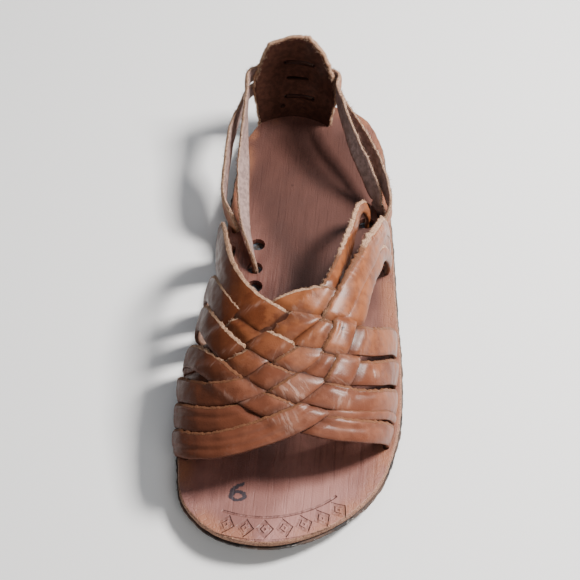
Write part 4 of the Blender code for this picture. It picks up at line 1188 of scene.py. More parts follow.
        # Painted shade: straps on the inner side are darkened in tint and shade, where the light
        # falls less.
        inner = 1 - ease(x, *self.inner_x)
        front = 1 - ease(y, *self.front_y)
        tint = strap.tint - 0.52 * inner - 0.06 * front
        shade = np.maximum(cover, 0.42 * (1 - ease(x, *self.shaded_x)))
        values = PROFILE.values(flat, shade, bend, tint)
        outward = ease(x, *self.burnt_x) * (1 - ease(y, *self.burnt_end_y))
        values["burnt"] = np.maximum(outward, 1 - ease(y, *self.burnt_front_y))
        values["rose"] = 1 - ease(y - 0.18 * x, *self.rosy_y)
        values["cut"] = values["cut"] * (1 - 0.15 * values["burnt"])
        made = new_object(strap.name, points.reshape(-1, 3), ring_faces(*flat), material, values)
        set_uv(made, np.broadcast_to(along, flat), lateral)
        return made


@dataclass(frozen=True)
class HeelSide:
    """One side of a heel strap, from the counter's edge to its foot on the insole."""

    foot: tuple
    rows: tuple


@dataclass
class HeelCounter:
    """The upright leather back with its slits."""

    thickness: float = 2.6
    width: float = 37.0
    height: float = 49.3
    radius: float = 24.0
    bow: float = 1.5
    inset: float = 6.95
    across: float = -0.136
    straps_level: float = 0.458
    slit_across: float = 0.054
    # The small hole, a blind one: height, place across, width and how tall.
    hole: tuple = (6.5, -6.5, 2.4, 2.3)
    outline: tuple = (
        (0.000, -0.468, 0.468), (0.122, -0.488, 0.488), (0.264, -0.499, 0.499),
        (0.507, -0.500, 0.500), (0.751, -0.430, 0.412), (0.903, -0.372, 0.305),
        (1.000, -0.318, 0.185),
    )
    top_slant: float = 0.075

    @property
    def x(self) -> float:
        """Return the x of the counter's middle."""
        return self.across * LAST.ball_width

    @property
    def back(self) -> float:
        """Return the y of the counter's back."""
        return LAST.heel_end - self.inset

    @property
    def foot(self) -> float:
        """Return the height of the insole under the counter."""
        return float(LAST.bed(LAST.station(self.back)))

    def point(self, across: Array, depth: Array, height: Array) -> Array:
        """Return points at a depth behind the counter's back and a height over its foot."""
        across, depth, height = np.broadcast_arrays(
            np.asarray(across, float), np.asarray(depth, float), np.asarray(height, float))
        slope = across / self.radius
        normal = unit(np.stack([slope, np.ones_like(slope)], axis=-1))
        share = np.clip(height / self.height, 0.0, 1.0)
        depth = depth + self.bow * np.sin(math.pi * share)
        x = self.x + across + normal[..., 0] * depth
        y = self.back - across**2 / (2 * self.radius) + normal[..., 1] * depth
        return np.stack([x, y, self.foot + height], axis=-1)

    def build(self, material: Material) -> Object:
        """Build the counter with rough edges and its slits.

        Args:
            material: Its leather.

        Returns:
            The counter.
        """
        rows, columns = 84, 64
        table = np.array(self.outline)
        fine = smooth(table, 400)
        heights = np.linspace(-LAST.insole_thickness, self.height, rows)
        inner = np.interp(heights / self.height, fine[:, 0], fine[:, 1]) * self.width
        outer = np.interp(heights / self.height, fine[:, 0], fine[:, 2]) * self.width
        u = np.linspace(0.0, 1.0, columns)[None, :]
        across = inner[:, None] + (outer - inner)[:, None] * u
        sunk = LAST.insole_thickness
        lowered = self.top_slant * self.height * (1 - u) * (heights[:, None] + sunk)
        level = heights[:, None] - lowered / (self.height + sunk)
        here = self.point(across, 0.0, level)
        top = ease(level, self.height - 5.0, self.height)
        level = level + top * (0.5 * ripple(here, 6.0, 3) + 0.25 * ripple(here, 2.0, 4) - 0.5)
        wide = (outer - inner)[:, None]
        rim = np.minimum(np.minimum(u * wide, (1 - u) * wide), self.height - heights[:, None])
        rag = 0.30 * ripple(here, 3.0, 5) + 0.15 * ripple(here, 1.2, 6)
        rag = rag * (1 - ease(rim, 0.0, 1.5))
        across = across + rag * np.sign(u - 0.5)
        thin = 0.12 * (1 - ease(rim, 0.0, 0.9))
        wave = 0.30 * ripple(here, 16.0, 9) * ease(level, 3.0, 14.0)
        depths = (wave - thin, wave - self.thickness + thin)
        points = [self.point(across, depth, level) for depth in depths]
        half_way = wave - self.thickness / 2
        middle = self.point(across + 0.25 * np.sign(u - 0.5), half_way, level + 0.2 * top)
        size = rows * columns
        faces = []
        for r in range(rows - 1):
            for c in range(columns - 1):
                a = r * columns + c
                faces.append((a, a + 1, a + 1 + columns, a + columns))
                faces.append((size + a, size + a + columns, size + a + columns + 1, size + a + 1))
        border = [(0, c) for c in range(columns)] + [(r, columns - 1) for r in range(1, rows)]
        border += [(rows - 1, c) for c in range(columns - 2, -1, -1)]
        border += [(r, 0) for r in range(rows - 2, 0, -1)]
        loop = [r * columns + c for r, c in border]
        belt = 2 * size + np.arange(len(loop))
        for k in range(len(loop)):
            n = (k + 1) % len(loop)
            faces.append((loop[k], loop[n], belt[n], belt[k]))
            faces.append((belt[k], belt[n], size + loop[n], size + loop[k]))
        flat = np.vstack([points[0].reshape(-1, 3), points[1].reshape(-1, 3),
                          middle.reshape(-1, 3)[loop]])
        high = ease(level, 0.25 * self.height, 0.8 * self.height)
        edge = (1 - ease(rim, 0.2 + 0.9 * high * (0.4 + 0.6 * u), 1.0 + 1.3 * high)).ravel()
        # Painted shade at the counter's foot.
        cover = (0.35 * (1 - ease(level, 0.0, 12.0))).ravel()
        values = {
            "cut": np.concatenate([edge, edge, np.ones(len(loop))]),
            "flesh": np.concatenate([np.zeros(size), np.ones(size), np.full(len(loop), 0.0)]),
            "cover": np.concatenate([cover, cover, np.zeros(len(loop))]),
            "bend": np.zeros(2 * size + len(loop)),
            "tint": np.full(2 * size + len(loop), 0.3),
        }
        made = new_object("counter", flat, faces, material, values)
        cut_away(made, self.slits())
        tints = np.zeros(len(made.data.vertices), np.float32)
        made.data.attributes["tint"].data.foreach_get("value", tints)
        painted_shades = np.zeros(len(made.data.vertices), np.float32)
        made.data.attributes["cover"].data.foreach_get("value", painted_shades)
        # Painted shade: the walls cut for the slits and the hole go near black.
        painted_shades[tints < 0.15] = 1.0
        made.data.attributes["cover"].data.foreach_set("value", painted_shades)
        layer = made.data.uv_layers.new(name="strap")
        spots = np.zeros(len(made.data.vertices) * 3)
        made.data.vertices.foreach_get("co", spots)
        numbers = np.zeros(len(made.data.loops), np.int32)
        made.data.loops.foreach_get("vertex_index", numbers)
        flat_places = spots.reshape(-1, 3)[numbers][:, (0, 2)]
        layer.data.foreach_set("uv", flat_places.astype(np.float32).ravel())
        made.data.shade_smooth()
        return made

    def slit_rows(self) -> list[tuple[float, float, float, float]]:
        """Return the slits: height, middle across, width and how tall, with round ends."""
        middle = self.slit_across * self.width
        gap = 10.3
        level = self.straps_level * self.height
        return [
            (level + gap, middle, 15.4, 2.4),
            (level, middle - 1.0, 10.5, 1.5),
            (level - gap, middle, 15.4, 2.4),
        ]

    def slits(self) -> list[Object]:
        """Return the cutters of the slits and of the small round hole."""
        cutters = []
        for number, (height, middle, width, tall) in enumerate([*self.slit_rows(), self.hole]):
            across, level = (round_slot(width, tall, 9) + (middle, height)).T
            start = -1.0 if tall == self.hole[3] else 3.5
            near = self.point(across, start, level)
            far = self.point(across, -self.thickness - 3.0, level)
            cutters.append(plug("slit_" + str(number), near, far))
        return cutters


@dataclass
class HeelStraps:
    """The two straps round the back of the counter, and their keeper."""

    counter: HeelCounter
    width: float = 7.8
    gap: float = 1.6
    ease_out: float = 0.25
    thickness: float = 1.7
    keeper_width: float = 13.0
    sections: int = 300
    finish: StrapLeather = field(default_factory=lambda: StrapLeather(
        "heel strap leather", light=rgba(0.34, 0.135, 0.062), dark=rgba(0.14, 0.048, 0.024),
        flesh=rgba(0.330, 0.225, 0.200), roughness=0.5))

    def sides(self) -> dict[str, tuple[float, HeelSide, HeelSide, tuple]]:
        """Return each strap: side of the middle level, outer side, inner side, end widths."""
        return {
            "heel_strap_top": (1.0, HeelSide((0.322, 0.280), (
                (0.137, -0.033, 0.976, 0.0), (0.293, -0.044, 0.923, 8.0),
                (0.458, -0.046, 0.824, 15.0), (0.636, -0.042, 0.684, 25.0),
                (0.792, -0.026, 0.524, 32.0), (0.913, -0.010, 0.319, 28.0),
                (0.987, -0.004, 0.116, 8.0), (1.000, 0.000, 0.022, 0.0))),
                HeelSide((-0.249, 0.431), (
                    (0.135, -0.020, 0.985, 0.0), (0.287, -0.035, 0.800, 12.0),
                    (0.458, -0.045, 0.552, 30.0), (0.633, -0.051, 0.372, 40.0),
                    (0.785, -0.045, 0.237, 40.0), (0.903, -0.024, 0.166, 25.0),
                    (0.984, -0.005, 0.095, 5.0), (1.000, 0.000, 0.026, 0.0))), (0.85, 0.57)),
            "heel_strap_base": (-1.0, HeelSide((0.354, 0.316), (
                (0.061, 0.002, 1.000, 0.0), (0.253, 0.012, 1.000, 5.0),
                (0.470, 0.034, 0.904, 10.0), (0.692, 0.046, 0.793, 15.0),
                (0.876, 0.041, 0.598, 10.0), (0.959, 0.024, 0.284, 0.0),
                (1.000, 0.000, 0.034, 0.0))),
                HeelSide((-0.373, 0.338), (
                    (0.178, -0.036, 0.990, 0.0), (0.379, -0.062, 0.950, 5.0),
                    (0.577, -0.064, 0.900, 8.0), (0.764, -0.061, 0.764, 8.0),
                    (0.899, -0.053, 0.458, 4.0), (0.979, -0.014, 0.144, 0.0),
                    (1.000, 0.000, 0.010, 0.0))), (0.85, 0.85)),
        }

    @property
    def depth(self) -> float:
        """Return the depth of the straps' middle behind the counter."""
        return LAST.fit + self.ease_out + self.thickness / 2

    def level(self, side: float) -> float:
        """Return the height over the insole of a strap's middle on the counter."""
        return self.counter.straps_level * self.counter.height + side * (self.width + self.gap) / 2

    def half_path(self, side: HeelSide, level: float, edge: float) -> list[tuple]:
        """Return points and leans from the counter's edge down to the slot."""
        start = self.counter.point(edge, self.depth, level)
        foot_x = side.foot[0] * LAST.ball_width
        foot_y = float(LAST.y_of(side.foot[1]))
        points = []
        for along, bulge, height, lean in side.rows:
            x = start[0] + (foot_x - start[0]) * along + bulge * LAST.ball_width
            y = start[1] + (foot_y - start[1]) * along
            points.append((x, y, float(LAST.bed(LAST.station(y))) + height * level, lean))
        points.append((foot_x, foot_y, float(LAST.deck(side.foot[1])) + LAST.fit, side.rows[-1][3]))
        return points

    def build(self) -> list[Object]:
        """Build both heel straps.

        Returns:
            The two straps.
        """
        material = self.finish.material()
        made = []
        for number, (name, (side, outer, inner, ends)) in enumerate(self.sides().items()):
            level = self.level(side)
            edge = self.counter.width / 2
            arc = [tuple(self.counter.point(u, self.depth, level)) + (0.0,)
                   for u in np.linspace(edge, -edge, 9)]
            outer_half = self.half_path(outer, level, edge)
            inner_half = self.half_path(inner, level, -edge)
            path = smooth(outer_half[::-1] + arc + inner_half, 20 * self.sections)
            ahead = unit(np.gradient(path[:, :3], axis=0))
            path = by_length(np.hstack([path, ahead]), path[:, :3], self.sections)
            made.append(self.ribbon(name, path, ends, number, material))
        return made

    def ribbon(self, name: str, path: Array, ends: tuple, number: int,
               material: Material) -> Object:
        """Make one strap along its path, its flesh side towards the foot.

        Args:
            name: The strap's name.
            path: Rows of x, y, z, lean in degrees and direction.
            ends: Width shares of the two ends.
            number: Picks the strap's irregularities.
            material: Its leather.

        Returns:
            The strap.
        """
        centre, ahead = path[:, :3], unit(path[:, 4:])
        flat = ahead[:, :2]
        steady = np.nonzero(np.linalg.norm(flat, axis=1) > 0.45)[0]
        order = np.abs(np.arange(len(flat))[:, None] - steady[None, :])
        flat = unit(flat[steady[np.argmin(order, axis=1)]])
        outward = np.stack([flat[:, 1], -flat[:, 0], np.zeros(len(flat))], axis=1)
        lean = np.radians(path[:, 3])[:, None]
        normal = outward * np.cos(lean) - UP * np.sin(lean)
        normal = unit(normal - ahead * np.sum(normal * ahead, axis=1)[:, None])
        sideways = -np.cross(ahead, normal)
        at = np.linspace(0.0, 1.0, len(path))
        widths = np.minimum(ends[0] + (1 - ends[0]) * ease(at, 0.03, 0.30),
                            ends[1] + (1 - ends[1]) * ease(1 - at, 0.03, 0.30))
        beside = ease(np.abs(at - 0.5), 0.14, 0.24)
        half = self.width * widths * (1 + 0.24 * beside) / 2
        rag = 0.30 * ripple(centre, 2.4, 50 + number) + 0.16 * ripple(centre, 0.9, 60)
        lateral = PROFILE.lateral(half * (1 + 0.04 * ripple(centre, 26.0, number)), rag[:, None])
        high = PROFILE.column(2)[None, :] * self.thickness / 2
        points = centre[:, None, :] + sideways[:, None, :] * lateral[..., None]
        points = points + normal[:, None, :] * high[..., None]
        points = points + normal[:, None, :] * (0.10 * ripple(points, 9.0, 12))[..., None]
        flat = points.shape[:2]
        steps = np.linalg.norm(np.diff(centre, axis=0), axis=1)
        along = np.concatenate([[0.0], np.cumsum(steps)])[:, None] + 300.0 * number
        values = PROFILE.values(flat, 0.0, 0.1, 0.45)
        made = new_object(name, points.reshape(-1, 3), ring_faces(*flat), material, values)
        set_uv(made, np.broadcast_to(along, flat), lateral)
        return made

    def build_keeper(self, material: Material) -> Object:
        """Build the short strap through the slits that holds the heel straps."""
        reach = self.depth + self.thickness + LAST.fit + 0.8
        clear = self.width / 2 + (self.thickness + self.gap) / 2
        top = self.level(1.0) + clear
        bottom = self.level(-1.0) - clear
        corner = self.thickness
        thick = self.counter.thickness
        rows = [
            (-thick - 0.2, top), (reach - 1.3 * corner, top),
            (reach - 0.4 * corner, top - 0.35 * corner), (reach, top - 1.2 * corner),
            (reach, (top + bottom) / 2), (reach, bottom + 1.2 * corner),
            (reach - 0.4 * corner, bottom + 0.35 * corner), (reach - 1.3 * corner, bottom),
            (-thick - 0.2, bottom),
        ]
        path = smooth(rows, 900)
        path = by_length(path, path, 90)
        ahead = unit(np.gradient(path, axis=0))
        facing = np.stack([-ahead[:, 1], ahead[:, 0]], axis=1)
        half = np.full(len(path), self.keeper_width / 2)
        lateral = PROFILE.lateral(half, np.zeros((len(path), 1)))
        middle = self.counter.slit_across * self.counter.width
        lift = PROFILE.column(2)[None, :] * self.thickness / 2
        depth = path[:, :1] + facing[:, :1] * lift
        height = path[:, 1:] + facing[:, 1:] * lift
        points = self.counter.point(middle + lateral, depth, height)
        flat = points.shape[:2]
        # Painted shade where the keeper lies inside the counter.
        values = PROFILE.values(flat, 1 - ease(depth, 0.0, 1.4), 0.1, 0.3)
        made = new_object("keeper", points.reshape(-1, 3), ring_faces(*flat), material, values)
        along = np.linspace(0.0, 30.0, len(path))[:, None]
        set_uv(made, np.broadcast_to(along, flat), lateral)
        return made


def slab(rings: Sequence[tuple[float, Callable]], count: int, columns: int,
         bottom_columns: int) -> tuple[Array, list[tuple], Array]:
    """Loft a layer of the sole with gridded top and bottom.

    Args:
        rings: Inset and height function of each ring, from the bottom up.
        count: Steps from heel to toe.
        columns: Steps across the top.
        bottom_columns: Steps across the bottom.

    Returns:
        Vertices, faces and, for each vertex, the number of its ring (the last ring's
        number for the top grid and 0 for the bottom grid).
    """
    t = np.linspace(0.0, 1.0, count + 1)
    shares = 0.5 * t + 0.5 * (1 - np.cos(np.pi * t)) / 2
    vertices: list = []
    numbers: list = []
    for ring, (inset, height) in enumerate(rings):
        outer, inner = LAST.sides(inset)
        ys = outer[0, 1] + (outer[-1, 1] - outer[0, 1]) * shares
        zs = height(LAST.station(ys))
        one = np.stack([side_x(outer, ys), ys, zs], axis=1)
        other = np.stack([side_x(inner, ys), ys, zs], axis=1)
        vertices.extend(one)
        vertices.extend(other[count - 1:0:-1])
        numbers.extend([ring] * (2 * count))
    size = 2 * count
    faces = []
    for ring in range(len(rings) - 1):
        for k in range(size):
            a = ring * size + k
            b = ring * size + (k + 1) % size
            faces.append((a, b, b + size, a + size))
    for ring, across in ((0, bottom_columns), (len(rings) - 1, columns)):
        start = ring * size
        grid = []
        for k in range(1, count):
            one = np.array(vertices[start + k])
            other = np.array(vertices[start + size - k])
            first = len(vertices)
            for j in range(1, across):
                vertices.append(one + (other - one) * j / across)
                numbers.append(ring)
            grid.append([start + k] + list(range(first, first + across - 1)) + [start + size - k])
        for row, after in zip(grid[:-1], grid[1:]):
            faces.extend((row[j], row[j + 1], after[j + 1], after[j]) for j in range(across))
        faces.extend((start, grid[0][j], grid[0][j + 1]) for j in range(across))
        tip = start + count
        faces.extend((tip, grid[-1][j + 1], grid[-1][j]) for j in range(across))
    return np.array(vertices), faces, np.array(numbers)


def above(base: Callable, distance: float) -> Callable:
    """Return a height function at a distance above another."""
    return lambda station: base(station) + distance


def between(share: float) -> Callable:
    """Return a height function at a share of the outsole's thickness."""
    return lambda s: LAST.ground(s) + (LAST.deck(s) - LAST.ground(s)) * share


def edge_distance(points: Array, inset: float) -> Array:
    """Return how far points lie inside the outline, in mm."""
    outer, inner = LAST.sides(inset)
    loop = np.vstack([outer, inner[::-1]])[::3]
    nearest = np.full(len(points), 1e9)
    for start in range(0, len(points), 4000):
        part = points[start:start + 4000, None, :2] - loop[None]
        nearest[start:start + 4000] = np.sqrt(np.min(np.sum(part**2, axis=2), axis=1))
    return nearest


@dataclass
class Insole:
    """The leather insole that the straps go down through."""

    # Steps from heel to toe, across the top and across the bottom.
    grid: tuple = (330, 96, 4)
    # Hollows worn by the heel and the ball: depth in mm, station and spread.
    hollows: tuple = ((0.55, 0.14, 0.10), (0.50, 0.72, 0.13))
    hole_radius: float = 3.3
    holes: tuple = (
        (-0.250, 0.377), (-0.249, 0.431), (-0.240, 0.472), (0.240, 0.271), (0.285, 0.349),
    )
    finish: InsoleLeather = field(default_factory=InsoleLeather)

    def build(self, upper: WovenUpper, straps: HeelStraps) -> Object:
        """Build the insole with its foot bed, slots and holes.

        Args:
            upper: The vamp, whose straps need slots.
            straps: The heel straps, whose feet need slots.

        Returns:
            The insole.
        """
        bottom = above(LAST.deck, LAST.fit)
        inset = LAST.insole_inset
        rings = [
            (inset + 0.3, bottom), (inset, above(bottom, 0.5)), (inset - 0.05, above(bottom, 1.2)),
            (inset, above(LAST.bed, -0.75)), (inset + 0.12, above(LAST.bed, -0.36)),
            (inset + 0.38, above(LAST.bed, -0.10)), (inset + 0.85, LAST.bed),
        ]
        vertices, faces, numbers = slab(rings, *self.grid)
        top = numbers == len(rings) - 1
        depth = edge_distance(vertices, inset)
        station = LAST.station(vertices[:, 1])
        middle = (side_x(EDGES[0], vertices[:, 1]) + side_x(EDGES[1], vertices[:, 1])) / 2
        width = (side_x(EDGES[0], vertices[:, 1]) - side_x(EDGES[1], vertices[:, 1])) / 2
        across = (vertices[:, 0] - middle) / np.maximum(width, 10.0)
        inside = ease(depth, 1.0, 14.0)
        dish = inside * sum(
            deep * np.exp(-((station - at) / spread) ** 2 - (across / 0.6) ** 2)
            for deep, at, spread in self.hollows)
        wave = 0.16 * ripple(vertices, 34.0, 21) + 0.05 * ripple(vertices, 9.0, 22)
        vertices[:, 2] += np.where(top, -dish + wave * inside, 0.0)
        side = (numbers > 0) & (numbers < len(rings) - 1)
        bump = 0.10 * ripple(vertices, 5.0, 23) + 0.05 * ripple(vertices, 1.6, 24)
        vertices[:, 0] += np.where(side, bump, 0.0)
        feet = self.feet(upper, straps)
        soil = np.zeros(len(vertices))
        for x, y, long, _, _ in feet:
            gap = np.hypot(vertices[:, 0] - x, vertices[:, 1] - y)
            soil = np.maximum(soil, 0.75 * (1 - ease(gap, long * 0.3, long * 0.95)))
        soil = np.maximum(soil, 0.50 * (1 - ease(depth, 0.4, 2.0)))
        # At the back this is painted shade under the counter as well as stains.
        back = 0.42 * ease(-station, -0.17, -0.02) * ease(np.abs(across), -0.2, 0.9)
        soil = np.maximum(soil, back)
        cut = np.where(top, 1 - ease(depth, 0.25, 0.7), np.where(numbers > 2, 1.0, 0.75))
        # Painted shadow over the heel, lying towards the outer side where the counter and heel
        # straps cast it, with darkening from the foot.
        start = -0.95 + 0.75 * ease(station, 0.20, 0.52)
        polish = ease(station, -0.02, 0.10) * (1 - ease(station, 0.42, 0.60))
        polish = polish * ease(across, start - 0.30, start + 0.30) * (1 - ease(across, 0.60, 1.0))
        rim = 1 - ease(depth, 2.0, 9.0)
        values = {"cut": cut, "rim": rim, "soil": soil * top, "polish": polish * top}
        made = new_object("insole_top", vertices, faces, self.finish.material(), values)
        cut_away(made, self.cutters(feet, upper))
        made.data.shade_smooth()
        made.data.set_sharp_from_angle(angle=math.radians(50))
        return made

    def feet(self, upper: WovenUpper, straps: HeelStraps) -> list[tuple]:
        """Return the slots: x, y, length and direction of each."""
        found = []
        for strap in upper.straps():
            for row in (strap.rows[0], strap.rows[-1]):
                across, station, lift = row
                if abs(across) < 1.0:
                    continue
                spot = LAST.point(np.array([across]), np.array([station]), np.array([lift]))[0]
                _, ahead = LAST.slopes(np.array([across]), np.array([station]))
                at_start = row is strap.rows[0]
                share = strap.end_share if at_start else 1.0
                long = strap.width * share + 0.4
                found.append((spot[0], spot[1], long, ahead[0, 0], ahead[0, 1]))
        for _, outer, inner, ends in straps.sides().values():
            for side, share in ((outer, ends[0]), (inner, ends[1])):
                x, y = side.foot[0] * LAST.ball_width, float(LAST.y_of(side.foot[1]))
                found.append((x, y, straps.width * share + 1.2, 0.15, -1.0))
        return found

    def cutters(self, feet: list[tuple], upper: WovenUpper) -> list[Object]:
        """Return the cutters of the slots and the round holes."""
        cutters = []
        for number, (x, y, long, ahead_x, ahead_y) in enumerate(feet):
            level = float(LAST.bed(LAST.station(y)))
            centre = (x, y, level - 1.0)
            name = "slot_" + str(number)
            cutters.append(prism(name, centre, long, 2.5, 8.0, (ahead_x, ahead_y)))
        row = next(s for s in upper.straps() if s.name == "inner_row_1").rows[0]
        lace = LAST.point(np.array([row[0]]), np.array([row[1]]), np.array([row[2]]))[0]
        spots = [(x * LAST.ball_width, float(LAST.y_of(s))) for x, s in self.holes]
        spots.append(tuple(lace[:2]))
        for number, (x, y) in enumerate(spots):
            level = float(LAST.bed(LAST.station(y)))
            wide = 2 * self.hole_radius
            name = "hole_" + str(number)
            cutters.append(prism(name, (x, y, level - 1.0), wide + 0.3, wide, 8.0, (1.0, 0.2)))
        return cutters


@dataclass
class Outsole:
    """The rubber outsole with the rib of its side and grooves across its tread."""

    rib_depth: float = 0.6
    bevel: float = 2.0
    tread_depth: float = 1.0
    tread_width: float = 2.6
    tread_pitch: float = 8.5
    tread_margin: float = 10.0
    tread_gap: tuple = (0.33, 0.56)
    # Steps from heel to toe, across the top and across the bottom.
    grid: tuple = (330, 3, 40)
    finish: OutsoleRubber = field(default_factory=OutsoleRubber)

    def build(self) -> Object:
        """Build the outsole.

        Returns:
            The outsole, its side rough from the knife.
        """
        waist = self.rib_depth + self.bevel * 0.2
        # Inset and share of the way from the ground to the deck.
        side = (
            (self.bevel * 0.7, 0.10), (self.bevel * 0.4, 0.22), (self.bevel * 0.2, 0.40),
            (self.bevel * 0.3, 0.46), (waist, 0.50), (waist, 0.60), (0.15, 0.65), (0.02, 0.70),
            (0.0, 0.80), (0.02, 0.92), (0.12, 0.97),
        )
        rings = [(self.bevel, LAST.ground), *((inset, between(share)) for inset, share in side),
                 (0.35, LAST.deck)]
        vertices, faces, numbers = slab(rings, *self.grid)
        side = (numbers > 0) & (numbers < len(rings) - 1)
        rough = 0.16 * ripple(vertices, 7.0, 31) + 0.12 * ripple(vertices, 2.4, 32) - 0.1
        outward = np.sign(vertices[:, 0])
        vertices[:, 0] += np.where(side, rough * outward * 0.9, 0.0)
        low = LAST.ground(LAST.station(vertices[:, 1])) + 1.6
        cut = side * np.where(vertices[:, 2] > low, 1.0, 0.8)
        values = {"cut": cut, "deck": ease(edge_distance(vertices, 0.0), 3.0, 9.0)}
        made = new_object("outsole_rubber", vertices, faces, self.finish.material(), values)
        cutters = []
        count = int((LAST.length - 2 * self.tread_margin) / self.tread_pitch) + 1
        for number in range(count):
            y = LAST.heel_end - self.tread_margin - number * self.tread_pitch
            station = float(LAST.station(y))
            if self.tread_gap[0] < station < self.tread_gap[1]:
                continue
            top = float(LAST.ground(station)) + self.tread_depth
            deep = 2 * LAST.outsole_thickness
            cutters.append(prism("groove_" + str(number), (0.0, y, top - deep / 2),
                                 2 * LAST.ball_width, self.tread_width, deep, (1.0, 0.0)))
        cut_away(made, cutters)
        made.data.shade_smooth()
        made.data.set_sharp_from_angle(angle=math.radians(40))
        return made


@dataclass(frozen=True)
class FibreSize:
    """Sizes of one kind of fibre, in mm, and how many stand on a square mm."""

    length: float
    radius: float
    density: float
    seed: int
    spread: float = 1.1


class Fibres:
    """Loose fibres on cut edges, spread by a node group with named inputs."""

    INPUTS = (
        ("Length", "NodeSocketFloat"), ("Radius", "NodeSocketFloat"),
        ("Density", "NodeSocketFloat"), ("Spread", "NodeSocketFloat"),
        ("Seed", "NodeSocketInt"), ("Material", "NodeSocketMaterial"),
    )

    def __init__(self) -> None:
        """Build the node group."""
        group = bpy.data.node_groups.new("edge fibres", "GeometryNodeTree")
        group.interface.new_socket("Geometry", in_out="INPUT", socket_type="NodeSocketGeometry")
        for label, kind in self.INPUTS:
            group.interface.new_socket(label, in_out="INPUT", socket_type=kind)
        group.interface.new_socket("Geometry", in_out="OUTPUT", socket_type="NodeSocketGeometry")
        tree = Tree(group)
        given = tree.add("NodeGroupInput").outputs
        worn = tree.add("GeometryNodeInputNamedAttribute", {"Name": "cut"}, data_type="FLOAT")
        edge = tree.math("GREATER_THAN", worn.outputs["Attribute"], 0.9)
        density = tree.times(edge, given["Density"])
        spots = tree.add("GeometryNodeDistributePointsOnFaces", {
            "Mesh": given["Geometry"], "Density": density, "Seed": given["Seed"]})
        hair = tree.add("GeometryNodeMeshCone", {
            "Vertices": 3, "Radius Bottom": given["Radius"], "Depth": given["Length"]})
        low = tree.times(given["Spread"], -1.0)
        least = tree.add("ShaderNodeCombineXYZ", {0: low, 1: low, 2: -3.1})
        most = tree.add("ShaderNodeCombineXYZ", {0: given["Spread"], 1: given["Spread"], 2: 3.1})
        lean = tree.add("FunctionNodeRandomValue", {
            0: least.outputs[0], 1: most.outputs[0], "Seed": given["Seed"],
        }, data_type="FLOAT_VECTOR")
        turn = tree.add("FunctionNodeEulerToRotation", {0: lean.outputs[0]})
        rotation = tree.add("FunctionNodeRotateRotation", {
            "Rotation": spots.outputs["Rotation"], "Rotate By": turn.outputs[0],
        }, rotation_space="LOCAL")
        scale = tree.add("FunctionNodeRandomValue", {2: 0.35, 3: 1.25, "Seed": given["Seed"]})
        placed = tree.add("GeometryNodeInstanceOnPoints", {
            "Points": spots.outputs["Points"], "Instance": hair.outputs["Mesh"],
            "Rotation": rotation.outputs[0], "Scale": scale.outputs[1]})
        real = tree.add("GeometryNodeRealizeInstances", {0: placed.outputs[0]})
        dyed = tree.add("GeometryNodeSetMaterial", {
            "Geometry": real.outputs[0], "Material": given["Material"]})
        tree.add("NodeGroupOutput", {0: dyed.outputs[0]})
        self.group = group

    def build(self, name: str, sources: Sequence[Object], size: FibreSize,
              finish: Plain) -> Object:
        """Spread fibres on the cut edges of some pieces.

        Args:
            name: Name of the result.
            sources: Pieces that carry the attribute cut.
            size: Sizes of the fibres.
            finish: Their look.

        Returns:
            One plain mesh object with all the fibres.
        """
        ground = self.edges(sources)
        step = ground.modifiers.new("fibres", "NODES")
        step.node_group = self.group
        wanted = {
            "Length": size.length * MM, "Radius": size.radius * MM, "Density": size.density / MM**2,
            "Spread": size.spread, "Seed": size.seed, "Material": finish.material(),
        }
        for item in self.group.interface.items_tree:
            if item.in_out == "INPUT" and item.name in wanted:
                step[item.identifier] = wanted[item.name]
        bpy.context.view_layer.update()
        depsgraph = bpy.context.evaluated_depsgraph_get()
        mesh = bpy.data.meshes.new_from_object(ground.evaluated_get(depsgraph))
        bpy.data.objects.remove(ground, do_unlink=True)
        mesh.name = name
        made = link(name, mesh)
        return made

    @staticmethod
    def edges(sources: Sequence[Object]) -> Object:
        """Return a working mesh of the cut faces of some pieces."""
        vertices: list = []
        faces: list = []
        cuts: list = []
        for source in sources:
            mesh = source.data
            cut = np.zeros(len(mesh.vertices), np.float32)
            mesh.attributes["cut"].data.foreach_get("value", cut)
            first = len(vertices)
            vertices.extend(tuple(v.co / MM) for v in mesh.vertices)
            cuts.extend(cut.tolist())
            for face in mesh.polygons:
                numbers = list(face.vertices)
                if len(numbers) < 5 and min(cut[n] for n in numbers) > 0.9:
                    faces.append(tuple(first + n for n in numbers))
        values = {"cut": np.array(cuts)}
        return new_object("edges", np.array(vertices), faces, None, values, shift=0.0)


